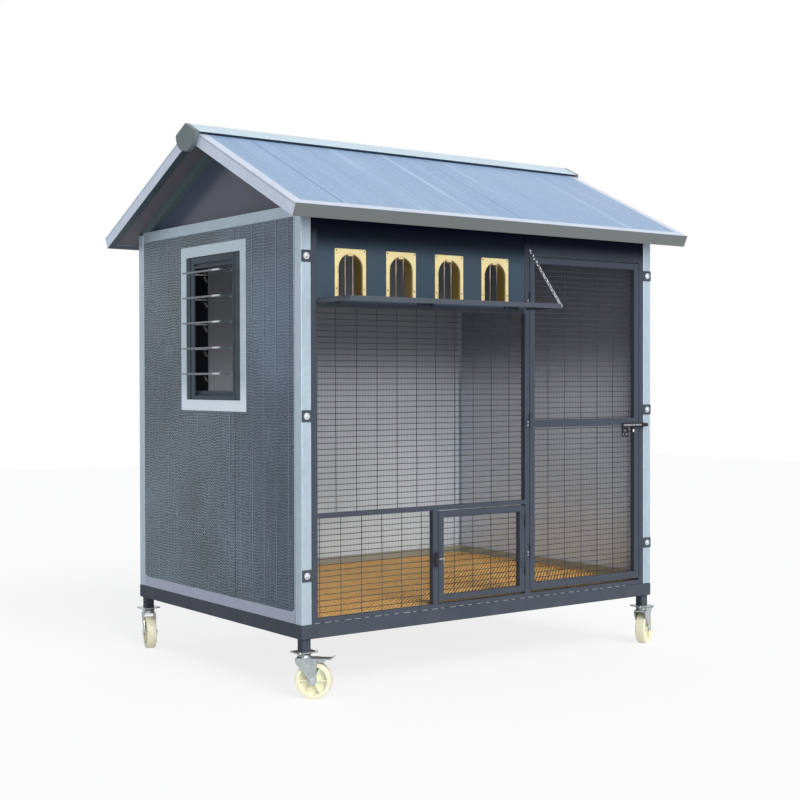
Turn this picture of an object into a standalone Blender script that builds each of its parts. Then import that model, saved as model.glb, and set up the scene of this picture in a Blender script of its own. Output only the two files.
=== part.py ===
"""A walk-in pigeon cage on casters: steel base, insulated walls, wire front with two doors, gabled roof.

Everything is built in cage coordinates: x to the right from the left posts' outer face, y back from the
front posts' face, z up from the top of the base frame. One empty, cage_datum, places that corner.
"""

from math import ceil, cos, pi, radians, sin, tan

import bmesh
import bpy
from mathutils import Matrix, Vector

# Gap left between pieces that rest on each other
GAP = 0.0003
# How far one welded shape reaches into the next
WELD = 0.001

# Body
CAGE_WIDTH = 2.000
CAGE_DEPTH = 1.454
POST_HEIGHT = 1.6805
POST_SIZE = 0.050

# Base frame and legs
BASE_TUBE = 0.060
BEARER_SIZE = 0.040
BEARER_COUNT = 3
LEG_TUBE = 0.040
LEG_LENGTH = 0.050
LEG_HOLE_RADIUS = 0.005

# Casters, from the ground up
WHEEL_RADIUS = 0.075
WHEEL_WIDTH = 0.045
WHEEL_STEPS = 20
WHEEL_SPOKES = 6
SPOKE_THICKNESS = 0.005
HUB_RADIUS = 0.019
HUB_WIDTH = 0.048
RIM_DEPTH = 0.019
WEB_THICKNESS = 0.012
AXLE_RADIUS = 0.006
AXLE_CLEARANCE = 0.0004
AXLE_HEAD_RADIUS = 0.011
AXLE_HEAD_HEIGHT = 0.007
CASTER_TRAIL = 0.040
FORK_PLATE = 0.0035
FORK_SIDE_CLEARANCE = 0.0015
FORK_FOOT_RADIUS = 0.017
FORK_FOOT_STEPS = 8
FORK_BACK = 0.032
FORK_FRONT = 0.045
FORK_SHOULDER = 0.020
FORK_CROWN_THICKNESS = 0.006
FORK_CROWN_FRONT = 0.034
FORK_PEDAL_EAR = 0.010
TREAD_CLEARANCE = 0.00957
SWIVEL_HEAD_RADIUS = 0.029
SWIVEL_HEAD_HEIGHT = 0.009
SWIVEL_GAP = 0.0005
RACE_RADIUS = 0.030
RACE_HEIGHT = 0.010
CASTER_PLATE_X = 0.095
CASTER_PLATE_Y = 0.075
CASTER_PLATE_THICKNESS = 0.004
CASTER_PLATE_CORNER = 0.012
PEDAL_PIVOT_REACH = 0.050
PEDAL_PIVOT_DROP = 0.0085
PEDAL_REACH = 0.125
PEDAL_THICKNESS = 0.004
PEDAL_TIP_LENGTH = 0.012
PEDAL_TIP_RISE = 0.009
PEDAL_PIN_RADIUS = 0.003
SHOE_SETBACK = 0.008
SHOE_LENGTH = 0.026
SHOE_CLEARANCE = 0.0012
# Direction in which each caster trails, in degrees from +x, as it stands
CASTER_HEADINGS = {"front_left": -45, "front_right": 27, "rear_left": -108, "rear_right": 60}

# Walls: sandwich panels held in sheet channels
WALL_THICKNESS = 0.048
CHANNEL_HEIGHT = 0.046
CHANNEL_RISE = 0.010
CHANNEL_SHEET = 0.002
CHANNEL_EDGE_BAR = 0.006
CHANNEL_INSET = 0.001

# Window: a sheet trim, a frame and five glass louvres
WINDOW_WIDTH = 0.582
WINDOW_HEIGHT = 0.737
WINDOW_DROP = 0.0575
WINDOW_TRIM_WIDTH = 0.048
WINDOW_TRIM_THICKNESS = 0.0035
WINDOW_JAMB = 0.072
WINDOW_HEADER = 0.041
WINDOW_SILL = 0.022
WINDOW_FRAME_DEPTH = 0.070
WINDOW_FRAME_RECESS = 0.004
SILL_LIP_HEIGHT = 0.018
SILL_LIP_SETBACK = 0.016
HEADER_LIP_HEIGHT = 0.012
HEADER_LIP_DEPTH = 0.016
LOUVRE_COUNT = 5
LOUVRE_HEAD_CLEARANCE = 0.035
LOUVRE_FOOT_CLEARANCE = 0.094
LOUVRE_OUTER_CHORD = 0.094
LOUVRE_INNER_CHORD = 0.032
LOUVRE_THICKNESS = 0.005
LOUVRE_PIVOT_DEPTH = 0.034
LOUVRE_END_CLEARANCE = 0.003
LOUVRE_PIN_RADIUS = 0.004

# Front frame
FRAME_DEPTH = 0.028
STILE = 0.028
RAIL = 0.020
DOOR_BAY_WIDTH = 0.7017
SMALL_DOOR_BAY_WIDTH = 0.497
MID_RAIL_FOOT = 0.424
BOARD_RAIL_HEIGHT = 0.024
TOP_RAIL = 0.028
TAB_INSET = 0.197
TAB_SIZE = 0.048
TAB_THICKNESS = 0.003
TAB_WELD_WIDTH = 0.010
TAB_BOLT_RADIUS = 0.013
TAB_BOLT_HEIGHT = 0.006
SHEET_RECESS = 0.003
SHEET_THICKNESS = 0.010

# Wire mesh
WIRE = 0.004
WIRE_COLUMN_PITCH = 0.104
WIRE_ROW_PITCH = 0.098
MESH_LAP = 0.010
UPPER_FIRST_WIRE = 0.109
LOWER_FIRST_WIRE = 0.028
DOOR_FIRST_WIRE = 0.107

# Doors
DOOR_GAP = 0.002
DOOR_STILE = 0.030
DOOR_RAIL = 0.034
DOOR_FOOT = 0.031
DOOR_HEADER_DEPTH = 0.1125
DOOR_MID_RAIL_RISE = 0.737
DOOR_HINGE_FOOT_INSET = 0.184
DOOR_HINGE_HEAD_INSET = 0.190
SMALL_DOOR_STILE = 0.029
SMALL_DOOR_RAIL = 0.026
SMALL_DOOR_HEAD_GAP = 0.006
SMALL_DOOR_HINGE_FOOT_INSET = 0.110
SMALL_DOOR_HINGE_HEAD_INSET = 0.062
HINGE_SETBACK = 0.006
KNUCKLE_RADIUS = 0.0055
KNUCKLE_LENGTH = 0.030
HINGE_LEAF_WIDTH = 0.020
HINGE_LEAF_THICKNESS = 0.003

# Slide bolt on the big door
BOLT_RADIUS = 0.005
BOLT_CLEARANCE = 0.0004
BOLT_LENGTH = 0.122
BOLT_SETBACK = 0.014
BOLT_REACH = 0.0055
BOLT_SLEEVE_RADIUS = 0.009
BOLT_SLEEVE_LENGTH = 0.012
BOLT_TIP_GAP = 0.0005
BOLT_HANDLE_INSET = 0.057
BOLT_HANDLE_DROP = 0.034
BOLT_HANDLE_RADIUS = 0.0035
BOLT_PLATE_THICKNESS = 0.004
KEEPER_LENGTH = 0.036
KEEPER_CLEARANCE = 0.001
HASP_WIDTH = 0.040
HASP_DROP = 0.044

# Turn latch on the small door
LATCH_RISE = 0.1825
LATCH_LENGTH = 0.063
LATCH_WIDTH = 0.026
LATCH_THICKNESS = 0.007
LATCH_STANDOFF = 0.0045
LATCH_BOSS_RADIUS = 0.006
STRIKE_LENGTH = 0.026
STRIKE_RADIUS = 0.002

# Entrances with bob wires
ENTRANCE_COUNT = 4
ENTRANCE_LEFT_INSET = 0.163
ENTRANCE_RIGHT_INSET = 0.176
ENTRANCE_SHEET_HEIGHT = 0.3365
ENTRANCE_WIDTH = 0.155
ENTRANCE_HEIGHT = 0.204
ARCH_RADIUS = 0.060
ARCH_CROWN = 0.020
ARCH_STEPS = 12
TUNNEL_DEPTH = 0.050
TUNNEL_WALL = 0.003
TUNNEL_CLEARANCE = 0.001
FLANGE_THICKNESS = 0.0027
BOB_ROD_RADIUS = 0.002
BOB_ROD_DROP = 0.008
BOB_ROD_SETBACK = 0.012
BOB_WIRE_RADIUS = 0.0015
BOB_WIRE_SPACING = 0.038
BOB_FOOT_CLEARANCE = 0.004

# Landing board and its chain
BOARD_REACH = 0.241
BOARD_LEFT_LAP = 0.008
BOARD_RIGHT_GAP = 0.003
BOARD_SHEET = 0.003
BOARD_LIP = 0.020
BOARD_PIVOT_RISE = 0.002
BOARD_RAIL_DROP = 0.0095
BOARD_HINGE_COUNT = 3
BOARD_HINGE_INSET = 0.080
BOARD_HINGE_LENGTH = 0.060
BOARD_LUG_HALF = 0.0035
BOARD_LUG_WIDTH = 0.011
CHAIN_ANCHOR_INSET = 0.0175
CHAIN_ANCHOR_RISE = 0.253
CHAIN_STANDOFF = 0.010
CHAIN_LINK_LENGTH = 0.026
CHAIN_LINK_WIDTH = 0.014
CHAIN_WIRE_RADIUS = 0.002
CHAIN_BITE = 0.0006
CHAIN_BOW_STEPS = 4
CHAIN_WIRE_SIDES = 4
CHAIN_PEG_RADIUS = 0.002
CHAIN_PEG_OVERHANG = 0.004
CHAIN_PEG_SETBACK = 0.008
CHAIN_PEG_CLEARANCE = 0.0008

# Roof
ROOF_PITCH = radians(25.7)
ROOF_THICKNESS = 0.050
ROOF_SEAT = 0.0005
EAVE_REACH = 0.137
VERGE_REACH = 0.110
EDGING_SHEET = 0.0020
EDGING_WALL = 0.0025
EDGING_TOP_LIP = 0.045
EDGING_UNDER_LIP = 0.035
RAFTER_SIZE = 0.040
GABLE_SHEET = 0.010
RIDGE_FLAP = 0.083
RIDGE_SHEET = 0.003
RIDGE_LIFT = 0.0135
RIDGE_END_THICKNESS = 0.021
RIDGE_END_DEPTH = 0.122
RIDGE_END_STEPS = 10

# Floor
FLOOR_THICKNESS = 0.018
FLOOR_CLEARANCE = 0.001

# What follows from those sizes
WHEEL_OUTER = WHEEL_RADIUS / cos(pi / WHEEL_STEPS)
FORK_CROWN_TOP = WHEEL_RADIUS + WHEEL_OUTER + TREAD_CLEARANCE + FORK_CROWN_THICKNESS
FORK_INNER = HUB_WIDTH / 2 + FORK_SIDE_CLEARANCE
SWIVEL_HEAD_TOP = FORK_CROWN_TOP + SWIVEL_HEAD_HEIGHT
CASTER_HEIGHT = SWIVEL_HEAD_TOP + SWIVEL_GAP + RACE_HEIGHT + CASTER_PLATE_THICKNESS
PEDAL_PIVOT_HEIGHT = FORK_CROWN_TOP - PEDAL_PIVOT_DROP
DECK_HEIGHT = CASTER_HEIGHT + LEG_LENGTH + BASE_TUBE
FRONT_FACE = -(CAGE_DEPTH + EAVE_REACH - BOARD_REACH) / 2
LEG_INSET = BASE_TUBE / 2
SIDE_CHANNEL_TOP = POST_HEIGHT + CHANNEL_RISE

FRAME_LEFT = POST_SIZE + GAP
FRAME_RIGHT = CAGE_WIDTH - POST_SIZE - GAP
LEFT_OPENING = FRAME_LEFT + STILE
RIGHT_STILE_LEFT = FRAME_RIGHT - STILE
MID_POST_RIGHT = RIGHT_STILE_LEFT - DOOR_BAY_WIDTH
MID_POST_LEFT = MID_POST_RIGHT - STILE
DIVIDER_RIGHT = MID_POST_LEFT - SMALL_DOOR_BAY_WIDTH
DIVIDER_LEFT = DIVIDER_RIGHT - STILE
BOTTOM_RAIL_TOP = GAP + RAIL
MID_RAIL_TOP = MID_RAIL_FOOT + RAIL
TOP_RAIL_FOOT = POST_HEIGHT - TOP_RAIL
TAB_HEIGHTS = (TAB_INSET, POST_HEIGHT / 2, POST_HEIGHT - TAB_INSET)
MESH_FRONT = FRAME_DEPTH + GAP

DOOR_LEFT = MID_POST_RIGHT + DOOR_GAP
DOOR_RIGHT = RIGHT_STILE_LEFT - DOOR_GAP
DOOR_PIVOT_X = MID_POST_RIGHT + DOOR_GAP / 2
DOOR_HEAD = TOP_RAIL_FOOT - DOOR_HEADER_DEPTH
DOOR_MID_RAIL_FOOT = DOOR_FOOT + DOOR_MID_RAIL_RISE
DOOR_HINGE_HEIGHTS = (
    DOOR_FOOT + DOOR_HINGE_FOOT_INSET,
    DOOR_MID_RAIL_FOOT + DOOR_RAIL,
    DOOR_HEAD - DOOR_HINGE_HEAD_INSET,
)
SMALL_DOOR_LEFT = DIVIDER_RIGHT + DOOR_GAP
SMALL_DOOR_RIGHT = MID_POST_LEFT - DOOR_GAP
SMALL_DOOR_PIVOT_X = MID_POST_LEFT - DOOR_GAP / 2
SMALL_DOOR_HEAD = MID_RAIL_FOOT - SMALL_DOOR_HEAD_GAP
SMALL_DOOR_HINGE_HEIGHTS = (
    DOOR_FOOT + SMALL_DOOR_HINGE_FOOT_INSET,
    SMALL_DOOR_HEAD - SMALL_DOOR_HINGE_HEAD_INSET,
)
BOLT_HEIGHT = DOOR_MID_RAIL_FOOT
BOLT_TIP = DOOR_RIGHT + BOLT_REACH
KEEPER_LEFT = BOLT_TIP + BOLT_TIP_GAP
LATCH_HEIGHT = DOOR_FOOT + LATCH_RISE

BOARD_TOP = TOP_RAIL_FOOT - ENTRANCE_SHEET_HEIGHT
BOARD_LEFT = LEFT_OPENING - BOARD_LEFT_LAP
BOARD_RIGHT = MID_POST_LEFT - BOARD_RIGHT_GAP
BOARD_PIVOT_HEIGHT = BOARD_TOP + BOARD_PIVOT_RISE
BOARD_RAIL_TOP = BOARD_TOP - BOARD_RAIL_DROP
BOARD_RAIL_FOOT = BOARD_RAIL_TOP - BOARD_RAIL_HEIGHT
ENTRANCE_FOOT = BOARD_TOP + BOARD_PIVOT_RISE
ARCH_APEX = ENTRANCE_FOOT + ENTRANCE_HEIGHT - ARCH_CROWN
ARCH_SPRING = ARCH_APEX - ARCH_RADIUS

WINDOW_LEFT = (CAGE_DEPTH - WINDOW_WIDTH) / 2
WINDOW_HEAD = SIDE_CHANNEL_TOP - CHANNEL_HEIGHT - WINDOW_DROP
WINDOW_FOOT = WINDOW_HEAD - WINDOW_HEIGHT
LOUVRE_TOP = WINDOW_HEAD - WINDOW_TRIM_WIDTH - WINDOW_HEADER - LOUVRE_HEAD_CLEARANCE
LOUVRE_FOOT = WINDOW_FOOT + WINDOW_TRIM_WIDTH + WINDOW_SILL + LOUVRE_FOOT_CLEARANCE

ROOF_SLOPE = tan(ROOF_PITCH)
EDGING_RISE = GAP + EDGING_SHEET
RIDGE_HEIGHT = POST_HEIGHT + ROOF_SEAT + CAGE_DEPTH / 2 * ROOF_SLOPE + ROOF_THICKNESS / cos(ROOF_PITCH)
ROOF_RUN = (CAGE_DEPTH / 2 + EAVE_REACH - EDGING_RISE * sin(ROOF_PITCH)) / cos(ROOF_PITCH)
ROOF_START = (ROOF_THICKNESS + EDGING_RISE) * ROOF_SLOPE + GAP


def evenly(first, last, count):
    """Positions spread evenly from first to last."""
    return [first + (last - first) * index / (count - 1) for index in range(count)]


def clear_scene():
    for obj in list(bpy.data.objects):
        bpy.data.objects.remove(obj, do_unlink=True)


def finish_of(name, colour, roughness, metallic=0.0, alpha=1.0):
    """A Principled material with one colour."""
    material = bpy.data.materials.new(name)
    material.use_nodes = True
    shader = material.node_tree.nodes["Principled BSDF"]
    shader.inputs["Base Color"].default_value = (*colour, 1.0)
    shader.inputs["Roughness"].default_value = roughness
    shader.inputs["Metallic"].default_value = metallic
    shader.inputs["Alpha"].default_value = alpha
    return material


def box(bm, low, high):
    """Adds a box between two opposite corners."""
    low, high = Vector(low), Vector(high)
    size = Matrix.Diagonal((*(high - low), 1.0))
    bmesh.ops.create_cube(bm, size=1.0, matrix=Matrix.Translation((low + high) / 2) @ size)


def rod(bm, start, end, radius, sides=12):
    """Adds a closed round bar between two points."""
    start, end = Vector(start), Vector(end)
    along = end - start
    turn = along.to_track_quat("Z", "Y").to_matrix().to_4x4()
    bmesh.ops.create_cone(
        bm,
        cap_ends=True,
        segments=sides,
        radius1=radius,
        radius2=radius,
        depth=along.length,
        matrix=Matrix.Translation((start + end) / 2) @ turn,
    )


def placed(normal, u, v, w):
    """The point at u, v in a plane and w along the plane's normal."""
    return {"X": (w, u, v), "Y": (u, w, v), "Z": (u, v, w)}[normal]


def extruded(bm, faces, normal, depth):
    """Gives flat faces a thickness."""
    result = bmesh.ops.extrude_face_region(bm, geom=faces)
    moved = [item for item in result["geom"] if isinstance(item, bmesh.types.BMVert)]
    bmesh.ops.translate(bm, verts=moved, vec=placed(normal, 0, 0, depth))


def prism(bm, outline, normal, low, high):
    """Adds an outline in the plane across normal, extruded from low to high."""
    corners = [bm.verts.new(placed(normal, u, v, low)) for u, v in outline]
    extruded(bm, [bm.faces.new(corners)], normal, high - low)


def plate(bm, bars, normal, low, high, holes=()):
    """Adds one flat welded shape: rectangles ((u0, u1), (v0, v1)) joined, less the holes."""

    def covers(rectangles, u, v):
        return any(us[0] < u < us[1] and vs[0] < v < vs[1] for us, vs in rectangles)

    edges = list(bars) + list(holes)
    us = sorted({round(value, 7) for side, _ in edges for value in side})
    vs = sorted({round(value, 7) for _, side in edges for value in side})
    corners = {}

    def corner(u, v):
        if (u, v) not in corners:
            corners[u, v] = bm.verts.new(placed(normal, u, v, low))
        return corners[u, v]

    faces = []
    for u0, u1 in zip(us, us[1:]):
        for v0, v1 in zip(vs, vs[1:]):
            middle = ((u0 + u1) / 2, (v0 + v1) / 2)
            if covers(bars, *middle) and not covers(holes, *middle):
                faces.append(bm.faces.new([corner(*c) for c in ((u0, v0), (u1, v0), (u1, v1), (u0, v1))]))
    extruded(bm, faces, normal, high - low)


def ring_bars(u0, u1, v0, v1, sides, foot, head):
    """The four bars of a rectangular frame, for plate()."""
    return [
        ((u0, u0 + sides), (v0, v1)),
        ((u1 - sides, u1), (v0, v1)),
        ((u0, u1), (v0, v0 + foot)),
        ((u0, u1), (v1 - head, v1)),
    ]


def made(name, shape, material=None, pivot=(0, 0, 0), parent=None, round_sides=False):
    """Turns a bmesh into an object whose origin is at pivot. With no material it is a hidden helper."""
    bmesh.ops.remove_doubles(shape, verts=shape.verts, dist=1e-6)
    bmesh.ops.recalc_face_normals(shape, faces=shape.faces)
    bmesh.ops.translate(shape, verts=shape.verts, vec=-Vector(pivot))
    mesh = bpy.data.meshes.new(name)
    shape.to_mesh(mesh)
    shape.free()
    if round_sides:
        mesh.shade_smooth()
        mesh.set_sharp_from_angle(angle=radians(40))
    obj = bpy.data.objects.new(name, mesh)
    bpy.context.scene.collection.objects.link(obj)
    obj.location = pivot
    obj.parent = parent if parent else bpy.data.objects["cage_datum"]
    if material:
        mesh.materials.append(material)
    else:
        obj.hide_render = True
        obj.display_type = "WIRE"
    return obj


def combined(obj, helper, operation):
    modifier = obj.modifiers.new(helper.name, "BOOLEAN")
    modifier.operation = operation
    modifier.solver = "EXACT"
    modifier.object = helper


def fuse(obj, helper_name, shape):
    """Welds the solids of a bmesh to an object."""
    combined(obj, made(helper_name, shape, pivot=obj.location, parent=obj.parent), "UNION")


def cut(obj, helper_name, shape):
    """Cuts the solids of a bmesh out of an object."""
    combined(obj, made(helper_name, shape, pivot=obj.location, parent=obj.parent), "DIFFERENCE")


def base_frame(finish):
    """A welded ring of square tube with bearers under the floor, and a leg at each corner."""
    shape = bmesh.new()
    inner = CAGE_WIDTH - 2 * BASE_TUBE
    bearers = []
    for index in range(1, BEARER_COUNT + 1):
        centre = BASE_TUBE + inner * index / (BEARER_COUNT + 1)
        bearers.append(((centre - BEARER_SIZE / 2, centre + BEARER_SIZE / 2), (0, CAGE_DEPTH)))
    ring = ring_bars(0, CAGE_WIDTH, 0, CAGE_DEPTH, BASE_TUBE, BASE_TUBE, BASE_TUBE)
    plate(shape, ring + bearers, "Z", -BASE_TUBE, 0)
    frame = made("base_frame", shape, finish)

    legs, holes = bmesh.new(), bmesh.new()
    for x, y in leg_centres().values():
        half = LEG_TUBE / 2
        box(legs, (x - half, y - half, -BASE_TUBE - LEG_LENGTH), (x + half, y + half, -BASE_TUBE + WELD * 10))
        middle = -BASE_TUBE - LEG_LENGTH / 2
        rod(holes, (x - LEG_TUBE, y, middle), (x + LEG_TUBE, y, middle), LEG_HOLE_RADIUS, 10)
    fuse(frame, "legs", legs)
    cut(frame, "leg_bolt_holes", holes)


def leg_centres():
    """Plan position of each leg, by corner name."""
    left, right = LEG_INSET, CAGE_WIDTH - LEG_INSET
    front, rear = LEG_INSET, CAGE_DEPTH - LEG_INSET
    return {
        "front_left": (left, front),
        "front_right": (right, front),
        "rear_left": (left, rear),
        "rear_right": (right, rear),
    }


def corner_posts(finish):
    for corner, (x, y) in leg_centres().items():
        left = 0 if x < CAGE_WIDTH / 2 else CAGE_WIDTH - POST_SIZE
        front = 0 if y < CAGE_DEPTH / 2 else CAGE_DEPTH - POST_SIZE
        shape = bmesh.new()
        box(shape, (left, front, GAP), (left + POST_SIZE, front + POST_SIZE, POST_HEIGHT))
        made(f"corner_post_{corner}", shape, finish)


def floor_grating(finish):
    """The slatted floor, with clearance to the walls round it."""
    wall = POST_SIZE + FLOOR_CLEARANCE
    shape = bmesh.new()
    low = (wall, MESH_FRONT + WIRE + FLOOR_CLEARANCE, GAP)
    box(shape, low, (CAGE_WIDTH - wall, CAGE_DEPTH - wall, GAP + FLOOR_THICKNESS))
    made("floor_grating", shape, finish)


def wall_panel(name, finish, normal, span, depth, top, holes=()):
    """A sandwich panel inside the channels, which it meets all round."""
    edge = CHANNEL_EDGE_BAR + GAP
    inset = CHANNEL_SHEET + GAP
    shape = bmesh.new()
    sides = ((span[0] + edge, span[1] - edge), (GAP + inset, top - inset))
    plate(shape, [sides], normal, depth[0] + CHANNEL_SHEET + GAP, depth[1] - CHANNEL_SHEET - GAP, holes)
    made(name, shape, finish)


def wall_channels(name, finish, normal, span, depth, top):
    """The sheet channels that hold a wall: along its foot, its head and both upright edges."""
    shape = bmesh.new()
    low, high = span[0] + GAP, span[1] - GAP
    bars = ring_bars(low, high, GAP, top, CHANNEL_EDGE_BAR, CHANNEL_SHEET, CHANNEL_SHEET)
    plate(shape, bars, normal, *depth)
    channels = made(name, shape, finish)
    for side, (near, far) in {"outer": (depth[0], depth[0] + CHANNEL_SHEET),
                              "inner": (depth[1] - CHANNEL_SHEET, depth[1])}.items():
        lips = bmesh.new()
        lip_bars = ring_bars(low, high, GAP, top, CHANNEL_EDGE_BAR, CHANNEL_HEIGHT, CHANNEL_HEIGHT)
        plate(lips, lip_bars, normal, near, far)
        fuse(channels, f"{name}_{side}_lips", lips)


def walls(panel, channel):
    """Left, right and rear walls. Only the left one has a window."""
    along = (POST_SIZE, CAGE_DEPTH - POST_SIZE)
    across = (POST_SIZE, CAGE_WIDTH - POST_SIZE)
    outer, inner = CHANNEL_INSET, CHANNEL_INSET + WALL_THICKNESS
    left = (outer, inner)
    right = (CAGE_WIDTH - inner, CAGE_WIDTH - outer)
    rear = (CAGE_DEPTH - inner, CAGE_DEPTH - outer)
    trim = WINDOW_TRIM_WIDTH - GAP
    window = (
        (WINDOW_LEFT + trim, WINDOW_LEFT + WINDOW_WIDTH - trim),
        (WINDOW_FOOT + trim, WINDOW_HEAD - trim),
    )
    wall_channels("left_wall_channels", channel, "X", along, left, SIDE_CHANNEL_TOP)
    wall_channels("right_wall_channels", channel, "X", along, right, SIDE_CHANNEL_TOP)
    wall_channels("rear_wall_channels", channel, "Y", across, rear, POST_HEIGHT)
    wall_panel("left_wall_panel", panel, "X", along, left, SIDE_CHANNEL_TOP, [window])
    wall_panel("right_wall_panel", panel, "X", along, right, SIDE_CHANNEL_TOP)
    wall_panel("rear_wall_panel", panel, "Y", across, rear, POST_HEIGHT)


def window(trim_finish, frame_finish, glass):
    """Trim on the wall's face, a frame through the wall, and louvres that turn together in it."""
    right = WINDOW_LEFT + WINDOW_WIDTH
    face = CHANNEL_INSET + CHANNEL_SHEET
    shape = bmesh.new()
    width = WINDOW_TRIM_WIDTH
    bars = ring_bars(WINDOW_LEFT, right, WINDOW_FOOT, WINDOW_HEAD, width, width, width)
    plate(shape, bars, "X", face - WINDOW_TRIM_THICKNESS, face)
    made("window_trim", shape, trim_finish)

    low, high = WINDOW_LEFT + width, right - width
    foot, head = WINDOW_FOOT + width, WINDOW_HEAD - width
    depth = (WINDOW_FRAME_RECESS, WINDOW_FRAME_RECESS + WINDOW_FRAME_DEPTH)
    shape = bmesh.new()
    plate(shape, ring_bars(low, high, foot, head, WINDOW_JAMB, WINDOW_SILL, WINDOW_HEADER), "X", *depth)
    frame = made("window_frame", shape, frame_finish)
    lips = bmesh.new()
    jambs = (low + WINDOW_JAMB - WELD, high - WINDOW_JAMB + WELD)
    sill, header = foot + WINDOW_SILL, head - WINDOW_HEADER
    box(
        lips,
        (depth[0] + SILL_LIP_SETBACK, jambs[0], sill - WELD),
        (depth[1] - WELD, jambs[1], sill + SILL_LIP_HEIGHT),
    )
    box(
        lips,
        (depth[0] + WELD, jambs[0], header - HEADER_LIP_HEIGHT),
        (depth[0] + HEADER_LIP_DEPTH, jambs[1], header + WELD),
    )
    fuse(frame, "window_frame_lips", lips)

    reach = (low + WINDOW_JAMB + LOUVRE_END_CLEARANCE, high - WINDOW_JAMB - LOUVRE_END_CLEARANCE)
    pin_reach = (low + WINDOW_JAMB + GAP, high - WINDOW_JAMB - GAP)
    for index, height in enumerate(evenly(LOUVRE_TOP, LOUVRE_FOOT, LOUVRE_COUNT), start=1):
        pivot = (LOUVRE_PIVOT_DEPTH, (low + high) / 2, height)
        shape = bmesh.new()
        box(
            shape,
            (pivot[0] - LOUVRE_OUTER_CHORD, reach[0], height - LOUVRE_THICKNESS / 2),
            (pivot[0] + LOUVRE_INNER_CHORD, reach[1], height + LOUVRE_THICKNESS / 2),
        )
        blade = made(f"louvre_{index}", shape, glass, pivot)
        pins = bmesh.new()
        rod(pins, (pivot[0], pin_reach[0], height), (pivot[0], pin_reach[1], height), LOUVRE_PIN_RADIUS, 8)
        fuse(blade, f"louvre_{index}_pins", pins)


def knuckles(shape, x, heights, lower):
    """Adds one half of each hinge's barrel: the lower knuckle or the upper one."""
    for height in heights:
        low, high = (-KNUCKLE_LENGTH, -GAP) if lower else (GAP, KNUCKLE_LENGTH)
        rod(shape, (x, -HINGE_SETBACK, height + low), (x, -HINGE_SETBACK, height + high), KNUCKLE_RADIUS, 10)


def hinge_leaves(shape, sides, heights, lower):
    """Adds the leaves that join the knuckles to a frame's face."""
    for height in heights:
        low, high = (-KNUCKLE_LENGTH, -GAP) if lower else (GAP, KNUCKLE_LENGTH)
        corner = (sides[0], -HINGE_LEAF_THICKNESS, height + low + WELD)
        box(shape, corner, (sides[1], WELD, height + high - WELD))


def front_frame(finish):
    """The welded front: stiles, rails, mid post, the sheet over the door and what is welded on."""
    opening = (LEFT_OPENING - WELD, MID_POST_LEFT + WELD)
    bars = [
        ((FRAME_LEFT, LEFT_OPENING), (GAP, POST_HEIGHT)),
        ((MID_POST_LEFT, MID_POST_RIGHT), (GAP, POST_HEIGHT)),
        ((RIGHT_STILE_LEFT, FRAME_RIGHT), (GAP, POST_HEIGHT)),
        ((FRAME_LEFT, FRAME_RIGHT), (GAP, BOTTOM_RAIL_TOP)),
        ((FRAME_LEFT, FRAME_RIGHT), (TOP_RAIL_FOOT, POST_HEIGHT)),
        (opening, (BOARD_RAIL_FOOT, BOARD_RAIL_TOP)),
        (opening, (MID_RAIL_FOOT, MID_RAIL_TOP)),
        ((DIVIDER_LEFT, DIVIDER_RIGHT), (BOTTOM_RAIL_TOP - WELD, MID_RAIL_FOOT + WELD)),
    ]
    shape = bmesh.new()
    plate(shape, bars, "Y", 0, FRAME_DEPTH)
    frame = made("front_frame", shape, finish)

    header = bmesh.new()
    box(
        header,
        (MID_POST_RIGHT - WELD, SHEET_RECESS, DOOR_HEAD + DOOR_GAP * 2),
        (RIGHT_STILE_LEFT + WELD, SHEET_RECESS + SHEET_THICKNESS, TOP_RAIL_FOOT + WELD),
    )
    fuse(frame, "door_header_sheet", header)

    tabs, welds, bolts = bmesh.new(), bmesh.new(), bmesh.new()
    front = -GAP - TAB_THICKNESS
    for height in TAB_HEIGHTS:
        low, high = height - TAB_SIZE / 2, height + TAB_SIZE / 2
        for edge, towards in ((0, 1), (CAGE_WIDTH, -1)):
            inner = edge + towards * (FRAME_LEFT + TAB_WELD_WIDTH)
            outer = edge + towards * (POST_SIZE - TAB_SIZE)
            xs = sorted((outer, inner))
            box(tabs, (xs[0], front, low), (xs[1], -GAP, high))
            xs = sorted((edge + towards * (FRAME_LEFT + GAP), inner - towards * WELD))
            box(welds, (xs[0], front + WELD, low + WELD), (xs[1], WELD, high - WELD))
            bolt_x = edge + towards * POST_SIZE / 2
            rod(
                bolts,
                (bolt_x, front + WELD, height),
                (bolt_x, front - TAB_BOLT_HEIGHT, height),
                TAB_BOLT_RADIUS,
                12,
            )
    fuse(frame, "frame_tabs", tabs)
    fuse(frame, "frame_tab_welds", welds)
    fuse(frame, "frame_tab_bolts", bolts)

    leaves, barrels = bmesh.new(), bmesh.new()
    hinge_leaves(leaves, (DOOR_PIVOT_X - HINGE_LEAF_WIDTH, DOOR_PIVOT_X - WELD / 2), DOOR_HINGE_HEIGHTS, True)
    knuckles(barrels, DOOR_PIVOT_X, DOOR_HINGE_HEIGHTS, True)
    sides = (SMALL_DOOR_PIVOT_X + WELD / 2, SMALL_DOOR_PIVOT_X + HINGE_LEAF_WIDTH / 2)
    hinge_leaves(leaves, sides, SMALL_DOOR_HINGE_HEIGHTS, True)
    knuckles(barrels, SMALL_DOOR_PIVOT_X, SMALL_DOOR_HINGE_HEIGHTS, True)
    fuse(frame, "frame_hinge_leaves", leaves)
    fuse(frame, "frame_hinge_knuckles", barrels)

    board_hinges(frame)
    keeper(frame)
    chain_eye(frame)
    latch_boss(frame)


def board_hinge_centres():
    return evenly(BOARD_LEFT + BOARD_HINGE_INSET, BOARD_RIGHT - BOARD_HINGE_INSET, BOARD_HINGE_COUNT)


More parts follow.
